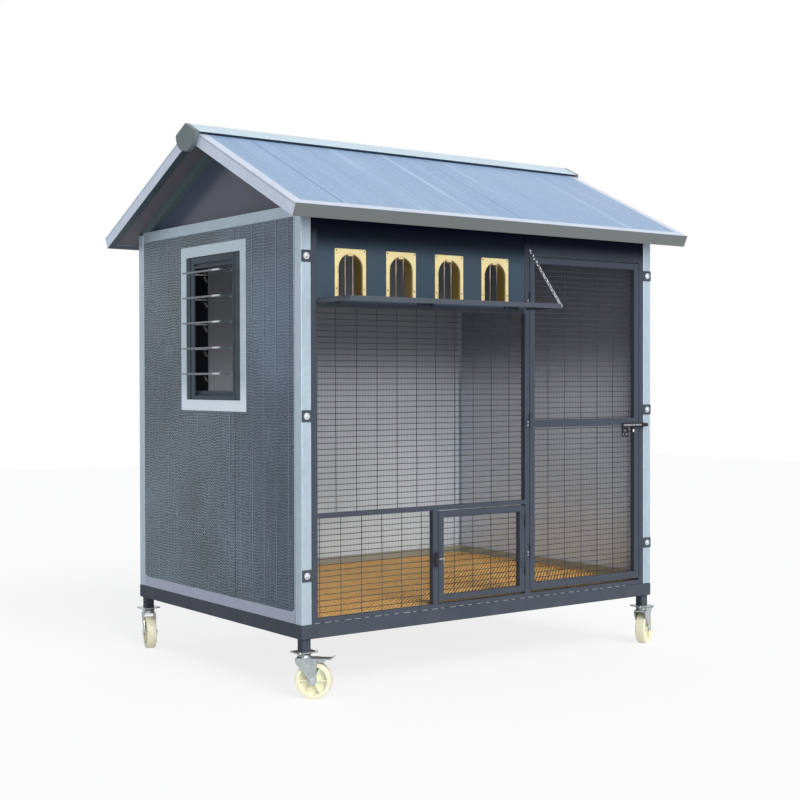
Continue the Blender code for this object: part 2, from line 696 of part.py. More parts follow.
def board_hinges(frame):
    """Lugs on the front frame that carry the landing board's hinge pin."""
    feet, lugs = bmesh.new(), bmesh.new()
    front = -HINGE_SETBACK - BOARD_LUG_HALF
    foot = BOARD_RAIL_TOP - BOARD_LUG_WIDTH
    for centre in board_hinge_centres():
        for side in (-1, 1):
            near = centre + side * (BOARD_HINGE_LENGTH / 2 + GAP)
            xs = sorted((near, near + side * BOARD_LUG_WIDTH))
            box(lugs, (xs[0], front, foot), (xs[1], -GAP, BOARD_PIVOT_HEIGHT + BOARD_LUG_HALF))
            box(feet, (xs[0] + WELD, -GAP - WELD, foot + WELD), (xs[1] - WELD, WELD, BOARD_RAIL_TOP - WELD))
    fuse(frame, "board_hinge_lugs", lugs)
    fuse(frame, "board_hinge_feet", feet)


def keeper(frame):
    """The barrel on the right stile that the slide bolt runs into."""
    pad, barrel, bore = bmesh.new(), bmesh.new(), bmesh.new()
    half = BOLT_SLEEVE_RADIUS + WELD * 2
    box(
        pad,
        (KEEPER_LEFT, -BOLT_SETBACK + BOLT_RADIUS, BOLT_HEIGHT - half),
        (FRAME_RIGHT - WELD, WELD, BOLT_HEIGHT + half),
    )
    ends = (KEEPER_LEFT, KEEPER_LEFT + KEEPER_LENGTH)
    rod(
        barrel,
        (ends[0], -BOLT_SETBACK, BOLT_HEIGHT),
        (ends[1], -BOLT_SETBACK, BOLT_HEIGHT),
        BOLT_SLEEVE_RADIUS,
    )
    rod(
        bore,
        (ends[0] - WELD, -BOLT_SETBACK, BOLT_HEIGHT),
        (ends[1] + WELD, -BOLT_SETBACK, BOLT_HEIGHT),
        BOLT_RADIUS + KEEPER_CLEARANCE,
    )
    fuse(frame, "keeper_pad", pad)
    fuse(frame, "keeper_barrel", barrel)
    cut(frame, "keeper_bore", bore)


def chain_eye(frame):
    """A peg on the mid post, inside the first link's upper bow."""
    eye = bmesh.new()
    anchor = chain_ends()[0]
    height = anchor.z - CHAIN_WIRE_RADIUS - CHAIN_PEG_RADIUS - CHAIN_PEG_CLEARANCE
    tip = anchor.y - CHAIN_WIRE_RADIUS * 3
    rod(eye, (anchor.x, tip, height), (anchor.x, WELD, height), CHAIN_PEG_RADIUS, 8)
    fuse(frame, "chain_eye", eye)


def latch_boss(frame):
    """The spacer on the divider that the turn latch sits against."""
    boss = bmesh.new()
    x = (DIVIDER_LEFT + DIVIDER_RIGHT) / 2
    rod(boss, (x, WELD, LATCH_HEIGHT), (x, -LATCH_STANDOFF + GAP, LATCH_HEIGHT), LATCH_BOSS_RADIUS)
    fuse(frame, "latch_boss", boss)


def arch(centre, half_width, foot, spring):
    """An arched outline: straight legs under a half circle."""
    points = [(centre - half_width, foot)]
    for step in range(ARCH_STEPS + 1):
        angle = pi - pi * step / ARCH_STEPS
        points.append((centre + half_width * cos(angle), spring + half_width * sin(angle)))
    points.append((centre + half_width, foot))
    return points


def entrances(sheet_finish, surround_finish, wire_finish):
    """The sheet above the landing board, its four arched surrounds and their hanging bob wires."""
    face = SHEET_RECESS
    shape = bmesh.new()
    box(
        shape,
        (LEFT_OPENING + GAP, face, BOARD_RAIL_TOP + GAP),
        (MID_POST_LEFT - GAP, face + SHEET_THICKNESS, TOP_RAIL_FOOT - GAP),
    )
    sheet = made("entrance_panel", shape, sheet_finish)
    cutters = bmesh.new()
    first, last = LEFT_OPENING + ENTRANCE_LEFT_INSET, MID_POST_LEFT - ENTRANCE_RIGHT_INSET
    centres = evenly(first, last, ENTRANCE_COUNT)
    for centre in centres:
        outline = arch(centre, ARCH_RADIUS + TUNNEL_WALL + TUNNEL_CLEARANCE, ENTRANCE_FOOT, ARCH_SPRING)
        prism(cutters, outline, "Y", face - WELD, face + SHEET_THICKNESS + WELD)
    cut(sheet, "entrance_cutters", cutters)

    for index, centre in enumerate(centres, start=1):
        name = f"entrance_surround_{index}"
        foot = ENTRANCE_FOOT + GAP
        shape = bmesh.new()
        low = (centre - ENTRANCE_WIDTH / 2, face - GAP - FLANGE_THICKNESS, foot)
        box(shape, low, (centre + ENTRANCE_WIDTH / 2, face - GAP, ENTRANCE_FOOT + ENTRANCE_HEIGHT))
        surround = made(name, shape, surround_finish, round_sides=True)
        tunnel, mouth = bmesh.new(), bmesh.new()
        outer = arch(centre, ARCH_RADIUS + TUNNEL_WALL, foot, ARCH_SPRING)
        prism(tunnel, outer, "Y", face - GAP - WELD, face + TUNNEL_DEPTH)
        inner = arch(centre, ARCH_RADIUS, foot - WELD, ARCH_SPRING)
        prism(mouth, inner, "Y", face - WELD * 5, face + TUNNEL_DEPTH + WELD)
        fuse(surround, f"{name}_tunnel", tunnel)
        cut(surround, f"{name}_mouth", mouth)
        bob_wires(index, centre, wire_finish)


def bob_wires(index, centre, finish):
    """Two wires on a rod across the top of an entrance, free to swing inwards."""
    height = ARCH_APEX - BOB_ROD_DROP
    rise = height - ARCH_SPRING
    inside = ARCH_RADIUS * cos(pi / ARCH_STEPS / 2)
    half = (inside**2 - (rise + BOB_ROD_RADIUS) ** 2) ** 0.5 - GAP
    pivot = (centre, BOB_ROD_SETBACK, height)
    shape = bmesh.new()
    rod(shape, (centre - half, pivot[1], height), (centre + half, pivot[1], height), BOB_ROD_RADIUS, 8)
    bobs = made(f"entrance_bobs_{index}", shape, finish, pivot, round_sides=True)
    wires = bmesh.new()
    for side in (-1, 1):
        x = centre + side * BOB_WIRE_SPACING / 2
        foot = (x, pivot[1], ENTRANCE_FOOT + BOB_FOOT_CLEARANCE)
        rod(wires, (x, pivot[1], height), foot, BOB_WIRE_RADIUS, 6)
    fuse(bobs, f"entrance_bobs_{index}_wires", wires)


def wire_mesh(name, finish, opening, first_wire, pivot=(0, 0, 0)):
    """A welded wire panel that laps onto the back of the frame round its opening."""
    (left, right), (foot, head) = opening
    low, high = left - MESH_LAP, right + MESH_LAP
    bottom, top = foot - MESH_LAP, head + MESH_LAP
    columns = [low, high - WIRE]
    x = left + first_wire - WIRE / 2
    while x < right:
        columns.append(x)
        x += WIRE_COLUMN_PITCH
    rows = max(1, ceil((head - foot) / WIRE_ROW_PITCH))
    heights = [bottom + (top - bottom - WIRE) * row / rows for row in range(rows + 1)]
    bars = [((column, column + WIRE), (bottom, top)) for column in columns]
    bars += [((low, high), (height, height + WIRE)) for height in heights]
    shape = bmesh.new()
    plate(shape, bars, "Y", MESH_FRONT, MESH_FRONT + WIRE)
    made(name, shape, finish, pivot)


def meshes(finish):
    """The four wire panels of the front."""
    upper = ((LEFT_OPENING, MID_POST_LEFT), (MID_RAIL_TOP, BOARD_RAIL_FOOT))
    wire_mesh("upper_mesh", finish, upper, UPPER_FIRST_WIRE)
    lower = ((LEFT_OPENING, DIVIDER_LEFT), (BOTTOM_RAIL_TOP, MID_RAIL_FOOT))
    wire_mesh("lower_mesh", finish, lower, LOWER_FIRST_WIRE)
    inner = (
        (DOOR_LEFT + DOOR_STILE, DOOR_RIGHT - DOOR_STILE),
        (DOOR_FOOT + DOOR_RAIL, DOOR_HEAD - DOOR_STILE),
    )
    wire_mesh("door_mesh", finish, inner, DOOR_FIRST_WIRE, (DOOR_PIVOT_X, -HINGE_SETBACK, DOOR_FOOT))
    inner = (
        (SMALL_DOOR_LEFT + SMALL_DOOR_STILE, SMALL_DOOR_RIGHT - SMALL_DOOR_STILE),
        (DOOR_FOOT + SMALL_DOOR_RAIL, SMALL_DOOR_HEAD - SMALL_DOOR_RAIL),
    )
    pivot = (SMALL_DOOR_PIVOT_X, -HINGE_SETBACK, DOOR_FOOT)
    wire_mesh("small_door_mesh", finish, inner, DOOR_FIRST_WIRE, pivot)


def door(finish, bolt_finish):
    """The big door, hinged at the mid post, with its slide bolt."""
    pivot = (DOOR_PIVOT_X, -HINGE_SETBACK, DOOR_FOOT)
    bars = ring_bars(DOOR_LEFT, DOOR_RIGHT, DOOR_FOOT, DOOR_HEAD, DOOR_STILE, DOOR_RAIL, DOOR_STILE)
    bars.append(((DOOR_LEFT, DOOR_RIGHT), (DOOR_MID_RAIL_FOOT, DOOR_MID_RAIL_FOOT + DOOR_RAIL)))
    shape = bmesh.new()
    plate(shape, bars, "Y", 0, FRAME_DEPTH)
    frame = made("door_frame", shape, finish, pivot)

    leaves, barrels = bmesh.new(), bmesh.new()
    hinge_leaves(leaves, (DOOR_LEFT - WELD / 2, DOOR_LEFT + HINGE_LEAF_WIDTH), DOOR_HINGE_HEIGHTS, False)
    knuckles(barrels, DOOR_PIVOT_X, DOOR_HINGE_HEIGHTS, False)
    fuse(frame, "door_hinge_leaves", leaves)
    fuse(frame, "door_hinge_knuckles", barrels)

    start, half = BOLT_TIP - BOLT_LENGTH, BOLT_SLEEVE_RADIUS + WELD * 2
    base, hasp, sleeves, bore = bmesh.new(), bmesh.new(), bmesh.new(), bmesh.new()
    right = DOOR_RIGHT - WELD
    box(base, (start, -BOLT_PLATE_THICKNESS, BOLT_HEIGHT - half), (right, WELD, BOLT_HEIGHT + half))
    box(
        hasp,
        (start + WELD, -BOLT_PLATE_THICKNESS + WELD, BOLT_HEIGHT - half - HASP_DROP),
        (start + HASP_WIDTH, WELD * 2, BOLT_HEIGHT - half + WELD),
    )
    for left in (start + WELD * 2, right - BOLT_SLEEVE_LENGTH):
        ends = (left, left + BOLT_SLEEVE_LENGTH)
        box(
            sleeves,
            (ends[0], -BOLT_SETBACK - BOLT_SLEEVE_RADIUS, BOLT_HEIGHT - BOLT_SLEEVE_RADIUS),
            (ends[1], -BOLT_PLATE_THICKNESS + WELD, BOLT_HEIGHT + BOLT_SLEEVE_RADIUS),
        )
    rod(
        bore,
        (start - WELD, -BOLT_SETBACK, BOLT_HEIGHT),
        (DOOR_RIGHT, -BOLT_SETBACK, BOLT_HEIGHT),
        BOLT_RADIUS + BOLT_CLEARANCE,
    )
    fuse(frame, "bolt_base", base)
    fuse(frame, "bolt_hasp", hasp)
    fuse(frame, "bolt_sleeves", sleeves)
    cut(frame, "bolt_bore", bore)

    shape = bmesh.new()
    rod(shape, (start, -BOLT_SETBACK, BOLT_HEIGHT), (BOLT_TIP, -BOLT_SETBACK, BOLT_HEIGHT), BOLT_RADIUS)
    bolt = made("door_bolt", shape, bolt_finish, (BOLT_TIP, -BOLT_SETBACK, BOLT_HEIGHT), round_sides=True)
    handle = bmesh.new()
    x = BOLT_TIP - BOLT_HANDLE_INSET
    rod(
        handle,
        (x, -BOLT_SETBACK, BOLT_HEIGHT),
        (x, -BOLT_SETBACK, BOLT_HEIGHT - BOLT_HANDLE_DROP),
        BOLT_HANDLE_RADIUS,
        10,
    )
    fuse(bolt, "bolt_handle", handle)


def small_door(finish, latch_finish):
    """The low door, hinged at the mid post, with its strike and turn latch."""
    pivot = (SMALL_DOOR_PIVOT_X, -HINGE_SETBACK, DOOR_FOOT)
    sides = (SMALL_DOOR_LEFT, SMALL_DOOR_RIGHT)
    rail = SMALL_DOOR_RAIL
    bars = ring_bars(*sides, DOOR_FOOT, SMALL_DOOR_HEAD, SMALL_DOOR_STILE, rail, rail)
    shape = bmesh.new()
    plate(shape, bars, "Y", 0, FRAME_DEPTH)
    frame = made("small_door_frame", shape, finish, pivot)
    leaves, barrels, strike = bmesh.new(), bmesh.new(), bmesh.new()
    sides = (SMALL_DOOR_RIGHT - HINGE_LEAF_WIDTH, SMALL_DOOR_RIGHT + WELD / 2)
    hinge_leaves(leaves, sides, SMALL_DOOR_HINGE_HEIGHTS, False)
    knuckles(barrels, SMALL_DOOR_PIVOT_X, SMALL_DOOR_HINGE_HEIGHTS, False)
    left = SMALL_DOOR_LEFT + WELD
    rod(strike, (left, -WELD, LATCH_HEIGHT), (left + STRIKE_LENGTH, -WELD, LATCH_HEIGHT), STRIKE_RADIUS, 8)
    fuse(frame, "small_door_hinge_leaves", leaves)
    fuse(frame, "small_door_hinge_knuckles", barrels)
    fuse(frame, "small_door_strike", strike)

    pivot = ((DIVIDER_LEFT + DIVIDER_RIGHT) / 2, -LATCH_STANDOFF, LATCH_HEIGHT)
    half, straight = LATCH_WIDTH / 2, (LATCH_LENGTH - LATCH_WIDTH) / 2
    outline = []
    for end in (1, -1):
        for step in range(7):
            angle = pi * step / 6 + (0 if end == 1 else pi)
            outline.append((pivot[0] + half * cos(angle), LATCH_HEIGHT + end * straight + half * sin(angle)))
    shape = bmesh.new()
    prism(shape, outline, "Y", -LATCH_STANDOFF - LATCH_THICKNESS, -LATCH_STANDOFF)
    made("small_door_latch", shape, latch_finish, pivot)


def landing_board(finish):
    """A folded sheet that hinges up against the entrances."""
    pivot_y = -HINGE_SETBACK
    pivot = ((BOARD_LEFT + BOARD_RIGHT) / 2, pivot_y, BOARD_PIVOT_HEIGHT)
    back = pivot_y - KNUCKLE_RADIUS - GAP * 2
    foot = BOARD_TOP - BOARD_LIP
    shape = bmesh.new()
    box(shape, (BOARD_LEFT, -BOARD_REACH, BOARD_TOP - BOARD_SHEET), (BOARD_RIGHT, back, BOARD_TOP))
    board = made("landing_board", shape, finish, pivot)
    front_lip, end_lips, barrels = bmesh.new(), bmesh.new(), bmesh.new()
    lip_corner = (BOARD_RIGHT, -BOARD_REACH + BOARD_SHEET, BOARD_TOP - WELD)
    box(front_lip, (BOARD_LEFT, -BOARD_REACH, foot), lip_corner)
    for x in (BOARD_LEFT, BOARD_RIGHT - BOARD_SHEET):
        box(end_lips, (x, -BOARD_REACH + WELD, foot), (x + BOARD_SHEET, back, BOARD_TOP - WELD))
    for centre in board_hinge_centres():
        half = BOARD_HINGE_LENGTH / 2
        box(
            barrels,
            (centre - half, back - KNUCKLE_RADIUS * 2, BOARD_TOP - BOARD_SHEET + WELD / 2),
            (centre + half, pivot_y + KNUCKLE_RADIUS / 2, BOARD_PIVOT_HEIGHT + KNUCKLE_RADIUS / 2),
        )
    fuse(board, "board_front_lip", front_lip)
    fuse(board, "board_end_lips", end_lips)
    fuse(board, "board_hinge_barrels", barrels)
    peg = bmesh.new()
    start = board_peg()
    tip = Vector((chain_ends()[1].x + CHAIN_PEG_OVERHANG, start.y, start.z))
    rod(peg, start - Vector((WELD, 0, 0)), tip, CHAIN_PEG_RADIUS, 8)
    fuse(board, "board_chain_peg", peg)


def chain_ends():
    """Middle of the wire in the first link's upper bow and in the last link's lower bow."""
    upper = Vector((MID_POST_LEFT + CHAIN_ANCHOR_INSET, -CHAIN_STANDOFF, BOARD_TOP + CHAIN_ANCHOR_RISE))
    peg = board_peg()
    peg.x += CHAIN_LINK_WIDTH / 2 + CHAIN_PEG_CLEARANCE
    reach = CHAIN_WIRE_RADIUS + CHAIN_PEG_RADIUS + CHAIN_PEG_CLEARANCE
    return upper, peg + (peg - upper).normalized() * reach


def board_peg():
    """Where the peg for the chain leaves the board's end lip."""
    return Vector((BOARD_RIGHT, -BOARD_REACH + CHAIN_PEG_SETBACK, BOARD_TOP - BOARD_LIP / 2))


def chain(finish):
    """Welded links from the mid post to the board's outer corner, every second one turned a quarter."""
    upper, lower = chain_ends()
    along = lower - upper
    seat = 4 * CHAIN_WIRE_RADIUS - CHAIN_BITE
    ends = 2 * CHAIN_WIRE_RADIUS
    count = 2 * round((along.length + ends - seat) / (CHAIN_LINK_LENGTH - seat) / 2)
    length = (along.length + ends + (count - 1) * seat) / count
    turn = along.to_track_quat("X", "Z").to_matrix().to_4x4()
    links = (bmesh.new(), bmesh.new())
    for index in range(count):
        centre = upper + along.normalized() * ((length - ends) / 2 + (length - seat) * index)
        quarter = Matrix.Rotation(pi / 2 * (index % 2), 4, "X")
        chain_link(links[index % 2], Matrix.Translation(centre) @ turn @ quarter, length)
    first = made("board_chain", links[0], finish)
    fuse(first, "board_chain_turned_links", links[1])


def chain_link(shape, place, length):
    """Adds one stadium-shaped link of round wire, long way along x."""
    radius = CHAIN_LINK_WIDTH / 2 - CHAIN_WIRE_RADIUS
    straight = length / 2 - CHAIN_LINK_WIDTH / 2
    half = CHAIN_BOW_STEPS + 1
    corner = CHAIN_WIRE_RADIUS / cos(pi / CHAIN_WIRE_SIDES)
    rings = []
    for step in range(2 * half):
        angle = pi * (step % half) / CHAIN_BOW_STEPS - pi / 2 + (pi if step >= half else 0)
        outward = Vector((cos(angle), sin(angle), 0))
        end = straight if step < half else -straight
        centre = Vector((end, 0, 0)) + outward * radius
        ring = []
        for side in range(CHAIN_WIRE_SIDES):
            turn = 2 * pi * (side + 0.5) / CHAIN_WIRE_SIDES
            offset = outward * cos(turn) + Vector((0, 0, 1)) * sin(turn)
            ring.append(shape.verts.new(place @ (centre + offset * corner)))
        rings.append(ring)
    for ring, following in zip(rings, rings[1:] + rings[:1]):
        for side in range(CHAIN_WIRE_SIDES):
            after = (side + 1) % CHAIN_WIRE_SIDES
            shape.faces.new((ring[side], ring[after], following[after], following[side]))


def roof_plane(name, side):
    """An empty on the ridge whose y axis runs down one roof slope and whose z axis stands on it."""
    plane = bpy.data.objects.new(name, None)
    bpy.context.scene.collection.objects.link(plane)
    plane.parent = bpy.data.objects["cage_datum"]
    plane.location = (CAGE_WIDTH / 2, CAGE_DEPTH / 2, RIDGE_HEIGHT)
    turn = pi if side == "front" else 0
    plane.rotation_euler = (-ROOF_PITCH, 0, turn)
    return plane


def roof(panel_finish, edging_finish):
    """Two insulated slopes, each with a folded edging round its eave and verges."""
    half = CAGE_WIDTH / 2 + VERGE_REACH
    under = -ROOF_THICKNESS
    for side in ("front", "rear"):
        plane = roof_plane(f"roof_plane_{side}", side)
        edge = EDGING_WALL + GAP
        shape = bmesh.new()
        box(shape, (-half + edge, ROOF_START, under), (half - edge, ROOF_RUN - edge, 0))
        made(f"roof_panel_{side}", shape, panel_finish, parent=plane)

        def three_sides(width):
            """Bars along both verges and the eave."""
            return [
                ((-half, -half + width), (ROOF_START, ROOF_RUN)),
                ((half - width, half), (ROOF_START, ROOF_RUN)),
                ((-half, half), (ROOF_RUN - width, ROOF_RUN)),
            ]

        top, foot = EDGING_RISE, under - EDGING_RISE
        shape = bmesh.new()
        plate(shape, three_sides(EDGING_WALL), "Z", foot + WELD, top - WELD)
        edging = made(f"roof_edging_{side}", shape, edging_finish, parent=plane)
        upper, lower = bmesh.new(), bmesh.new()
        plate(upper, three_sides(EDGING_TOP_LIP), "Z", GAP, top)
        plate(lower, three_sides(EDGING_UNDER_LIP), "Z", foot, under - GAP)
        fuse(edging, f"roof_edging_{side}_top_lip", upper)
        fuse(edging, f"roof_edging_{side}_under_lip", lower)


def slope_point(across, lift):
    """The y and z of a point that far across from the ridge, and that far above the roof's face."""
    return (
        CAGE_DEPTH / 2 + across + lift * sin(ROOF_PITCH) * (1 if across > 0 else -1),
        RIDGE_HEIGHT - abs(across) * ROOF_SLOPE + lift * cos(ROOF_PITCH),
    )


def ridge_cap(finish):
    """An angle over both slopes, hemmed down onto them, with its ends closed by plates with a round foot."""
    middle = CAGE_DEPTH / 2
    seat = EDGING_RISE + GAP
    rise = (RIDGE_LIFT + RIDGE_SHEET) / cos(ROOF_PITCH)
    hem = RIDGE_FLAP - RIDGE_SHEET
    outline = [
        slope_point(-RIDGE_FLAP, seat),
        slope_point(-RIDGE_FLAP, RIDGE_LIFT + RIDGE_SHEET),
        (middle, RIDGE_HEIGHT + rise),
        slope_point(RIDGE_FLAP, RIDGE_LIFT + RIDGE_SHEET),
        slope_point(RIDGE_FLAP, seat),
        slope_point(hem, seat),
        slope_point(hem, RIDGE_LIFT),
        (middle, RIDGE_HEIGHT + RIDGE_LIFT / cos(ROOF_PITCH)),
        slope_point(-hem, RIDGE_LIFT),
        slope_point(-hem, seat),
    ]
    start = -VERGE_REACH - GAP
    end = CAGE_WIDTH + VERGE_REACH + GAP
    shape = bmesh.new()
    prism(shape, outline, "X", start - WELD, end + WELD)
    cap = made("ridge_cap", shape, finish)

    shoulder = outline[3]
    half = shoulder[0] - middle
    drop = shoulder[1] - (RIDGE_HEIGHT + rise - RIDGE_END_DEPTH)
    outline = outline[1:4]
    for step in range(1, RIDGE_END_STEPS):
        angle = pi * step / RIDGE_END_STEPS
        outline.append((middle + half * cos(angle), shoulder[1] - drop * sin(angle)))
    ends = bmesh.new()
    prism(ends, outline, "X", start - RIDGE_END_THICKNESS, start)
    prism(ends, outline, "X", end, end + RIDGE_END_THICKNESS)
    fuse(cap, "ridge_cap_ends", ends)


def gables(finish):
    """A recessed sheet in each gable, framed by the two rafters that the roof rests on."""
    base = SIDE_CHANNEL_TOP + GAP
    lift = GAP / cos(ROOF_PITCH)
    peak = RIDGE_HEIGHT - ROOF_THICKNESS / cos(ROOF_PITCH) - lift
    half = (peak - base) / ROOF_SLOPE
    middle = CAGE_DEPTH / 2
    inner_peak = peak - RAFTER_SIZE / cos(ROOF_PITCH)
    inner_half = (inner_peak - base) / ROOF_SLOPE
    chevron = [
        (middle - half, base),
        (middle, peak),
        (middle + half, base),
        (middle + inner_half, base),
        (middle, inner_peak),
        (middle - inner_half, base),
    ]
    sheet = [
        (middle - half + RAFTER_SIZE / 2, base),
        (middle, peak - RAFTER_SIZE / 2 * ROOF_SLOPE),
        (middle + half - RAFTER_SIZE / 2, base),
    ]
    for side in ("left", "right"):
        outer, inward = (CHANNEL_INSET, 1) if side == "left" else (CAGE_WIDTH - CHANNEL_INSET, -1)
        inner = outer + inward * RAFTER_SIZE
        shape = bmesh.new()
        prism(shape, chevron, "X", *sorted((outer, inner)))
        gable = made(f"gable_panel_{side}", shape, finish)
        filling = bmesh.new()
        prism(filling, sheet, "X", *sorted((inner - inward * WELD, inner - inward * (WELD + GABLE_SHEET))))
        fuse(gable, f"gable_sheet_{side}", filling)


def turned(shape, profile, steps, axis_height):
    """Adds a ring turned about the y axis at axis_height, from (radius, y) points, flat at its foot."""
    rings = []
    for step in range(steps):
        angle = 2 * pi * (step + 0.5) / steps - pi / 2
        out = Vector((cos(angle), 0, sin(angle)))
        rings.append([shape.verts.new(out * radius + Vector((0, y, axis_height))) for radius, y in profile])
    for ring, following in zip(rings, rings[1:] + rings[:1]):
        for index in range(len(profile)):
            after = (index + 1) % len(profile)
            shape.faces.new((ring[index], ring[after], following[after], following[index]))


def wheel(corner, finish, caster):
    """A nylon wheel with a thin web and six ribs. The flat of its rim stands on the ground."""
    name = f"caster_wheel_{corner}"
    pivot = (CASTER_TRAIL, 0, WHEEL_RADIUS)
    rim = WHEEL_RADIUS - RIM_DEPTH
    bore = AXLE_RADIUS + AXLE_CLEARANCE
    one_side = [
        (bore, HUB_WIDTH / 2),
        (HUB_RADIUS, HUB_WIDTH / 2),
        (HUB_RADIUS, WEB_THICKNESS / 2),
        (rim, WEB_THICKNESS / 2),
        (rim, WHEEL_WIDTH / 2),
        (WHEEL_OUTER, WHEEL_WIDTH / 2),
    ]
    profile = one_side + [(radius, -y) for radius, y in reversed(one_side)]
    shape = bmesh.new()
    turned(shape, profile, WHEEL_STEPS, WHEEL_RADIUS)
    bmesh.ops.translate(shape, verts=shape.verts, vec=(CASTER_TRAIL, 0, 0))
    body = made(name, shape, finish, pivot, caster, round_sides=True)
    ribs = bmesh.new()
    for index in range(WHEEL_SPOKES):
        turn = Matrix.Rotation(2 * pi * index / WHEEL_SPOKES, 4, "Y")
        before = len(ribs.verts)
        half = (SPOKE_THICKNESS / 2, WHEEL_WIDTH / 2 - WELD * 2)
        box(ribs, (HUB_RADIUS - WELD, -half[1], -half[0]), (rim + WELD, half[1], half[0]))
        ribs.verts.ensure_lookup_table()
        bmesh.ops.transform(ribs, verts=ribs.verts[before:], matrix=Matrix.Translation(pivot) @ turn)
    fuse(body, f"{name}_ribs", ribs)


def fork(corner, finish, caster, braked):
    """Two side plates under a crown and swivel head, with the axle and, if braked, the pedal's pin."""
    name = f"caster_fork_{corner}"
    front = PEDAL_PIVOT_REACH + FORK_PEDAL_EAR if braked else FORK_FRONT
    outline = [(-FORK_BACK, FORK_CROWN_TOP), (-FORK_BACK, FORK_CROWN_TOP - FORK_SHOULDER)]
    for step in range(FORK_FOOT_STEPS + 1):
        angle = radians(205) + radians(160) * step / FORK_FOOT_STEPS
        across, up = FORK_FOOT_RADIUS * cos(angle), FORK_FOOT_RADIUS * sin(angle)
        outline.append((CASTER_TRAIL + across, WHEEL_RADIUS + up))
    outline += [(front, FORK_CROWN_TOP - FORK_SHOULDER), (front, FORK_CROWN_TOP)]
    shape = bmesh.new()
    for side in (-1, 1):
        prism(shape, outline, "Y", *sorted((side * FORK_INNER, side * (FORK_INNER + FORK_PLATE))))
    body = made(name, shape, finish, (0, 0, CASTER_HEIGHT), caster, round_sides=True)

    crown, head, axle, ends = bmesh.new(), bmesh.new(), bmesh.new(), bmesh.new()
    reach = FORK_INNER + FORK_PLATE - WELD / 2
    box(
        crown,
        (-FORK_BACK + WELD / 2, -reach, FORK_CROWN_TOP - FORK_CROWN_THICKNESS),
        (FORK_CROWN_FRONT, reach, FORK_CROWN_TOP - WELD / 2),
    )
    rod(head, (0, 0, FORK_CROWN_TOP - WELD * 2), (0, 0, SWIVEL_HEAD_TOP), SWIVEL_HEAD_RADIUS, 16)
    rod(
        axle,
        (CASTER_TRAIL, -FORK_INNER - WELD, WHEEL_RADIUS),
        (CASTER_TRAIL, FORK_INNER + WELD, WHEEL_RADIUS),
        AXLE_RADIUS,
    )
    for side in (-1, 1):
        y = side * (FORK_INNER + FORK_PLATE - WELD)
        tip = y + side * AXLE_HEAD_HEIGHT
        rod(ends, (CASTER_TRAIL, y, WHEEL_RADIUS), (CASTER_TRAIL, tip, WHEEL_RADIUS), AXLE_HEAD_RADIUS, 6)
    fuse(body, f"{name}_crown", crown)
    fuse(body, f"{name}_head", head)
    fuse(body, f"{name}_axle", axle)
    fuse(body, f"{name}_axle_ends", ends)
    if braked:
        pin = bmesh.new()
        at = (PEDAL_PIVOT_REACH, PEDAL_PIVOT_HEIGHT)
        rod(pin, (at[0], -FORK_INNER - WELD, at[1]), (at[0], FORK_INNER + WELD, at[1]), PEDAL_PIN_RADIUS, 10)
        fuse(body, f"{name}_pedal_pin", pin)


def pedal(corner, finish, caster):
    """The brake pedal: a foot plate, its pivot block and the shoe over the tread."""
    name = f"brake_pedal_{corner}"
    x, z = PEDAL_PIVOT_REACH, PEDAL_PIVOT_HEIGHT
    top = z + PEDAL_PIN_RADIUS * 2 + PEDAL_THICKNESS / 2
    shoe = x + SHOE_SETBACK
    tread = WHEEL_RADIUS + (WHEEL_OUTER**2 - (shoe - CASTER_TRAIL) ** 2) ** 0.5
    block = PEDAL_PIN_RADIUS * 2
    outline = [
        (x - block, z - block / 2),
        (x, z - block),
        (shoe, z - block),
        (shoe, tread + SHOE_CLEARANCE),
        (shoe + SHOE_LENGTH, tread + SHOE_CLEARANCE),
        (shoe + SHOE_LENGTH + block, top - PEDAL_THICKNESS),
        (PEDAL_REACH - PEDAL_TIP_LENGTH, top - PEDAL_THICKNESS),
        (PEDAL_REACH, top - PEDAL_THICKNESS + PEDAL_TIP_RISE),
        (PEDAL_REACH - PEDAL_THICKNESS / 2, top + PEDAL_TIP_RISE),
        (PEDAL_REACH - PEDAL_TIP_LENGTH - PEDAL_THICKNESS / 2, top),
        (x - block / 2, top),
        (x - block, z + block / 2),
    ]
    half = FORK_INNER - GAP * 2
    shape = bmesh.new()
    prism(shape, outline, "Y", -half, half)
    body = made(name, shape, finish, (x, 0, z), caster)
    bore = bmesh.new()
    rod(bore, (x, -half - WELD, z), (x, half + WELD, z), PEDAL_PIN_RADIUS + AXLE_CLEARANCE, 10)
    cut(body, f"{name}_bore", bore)


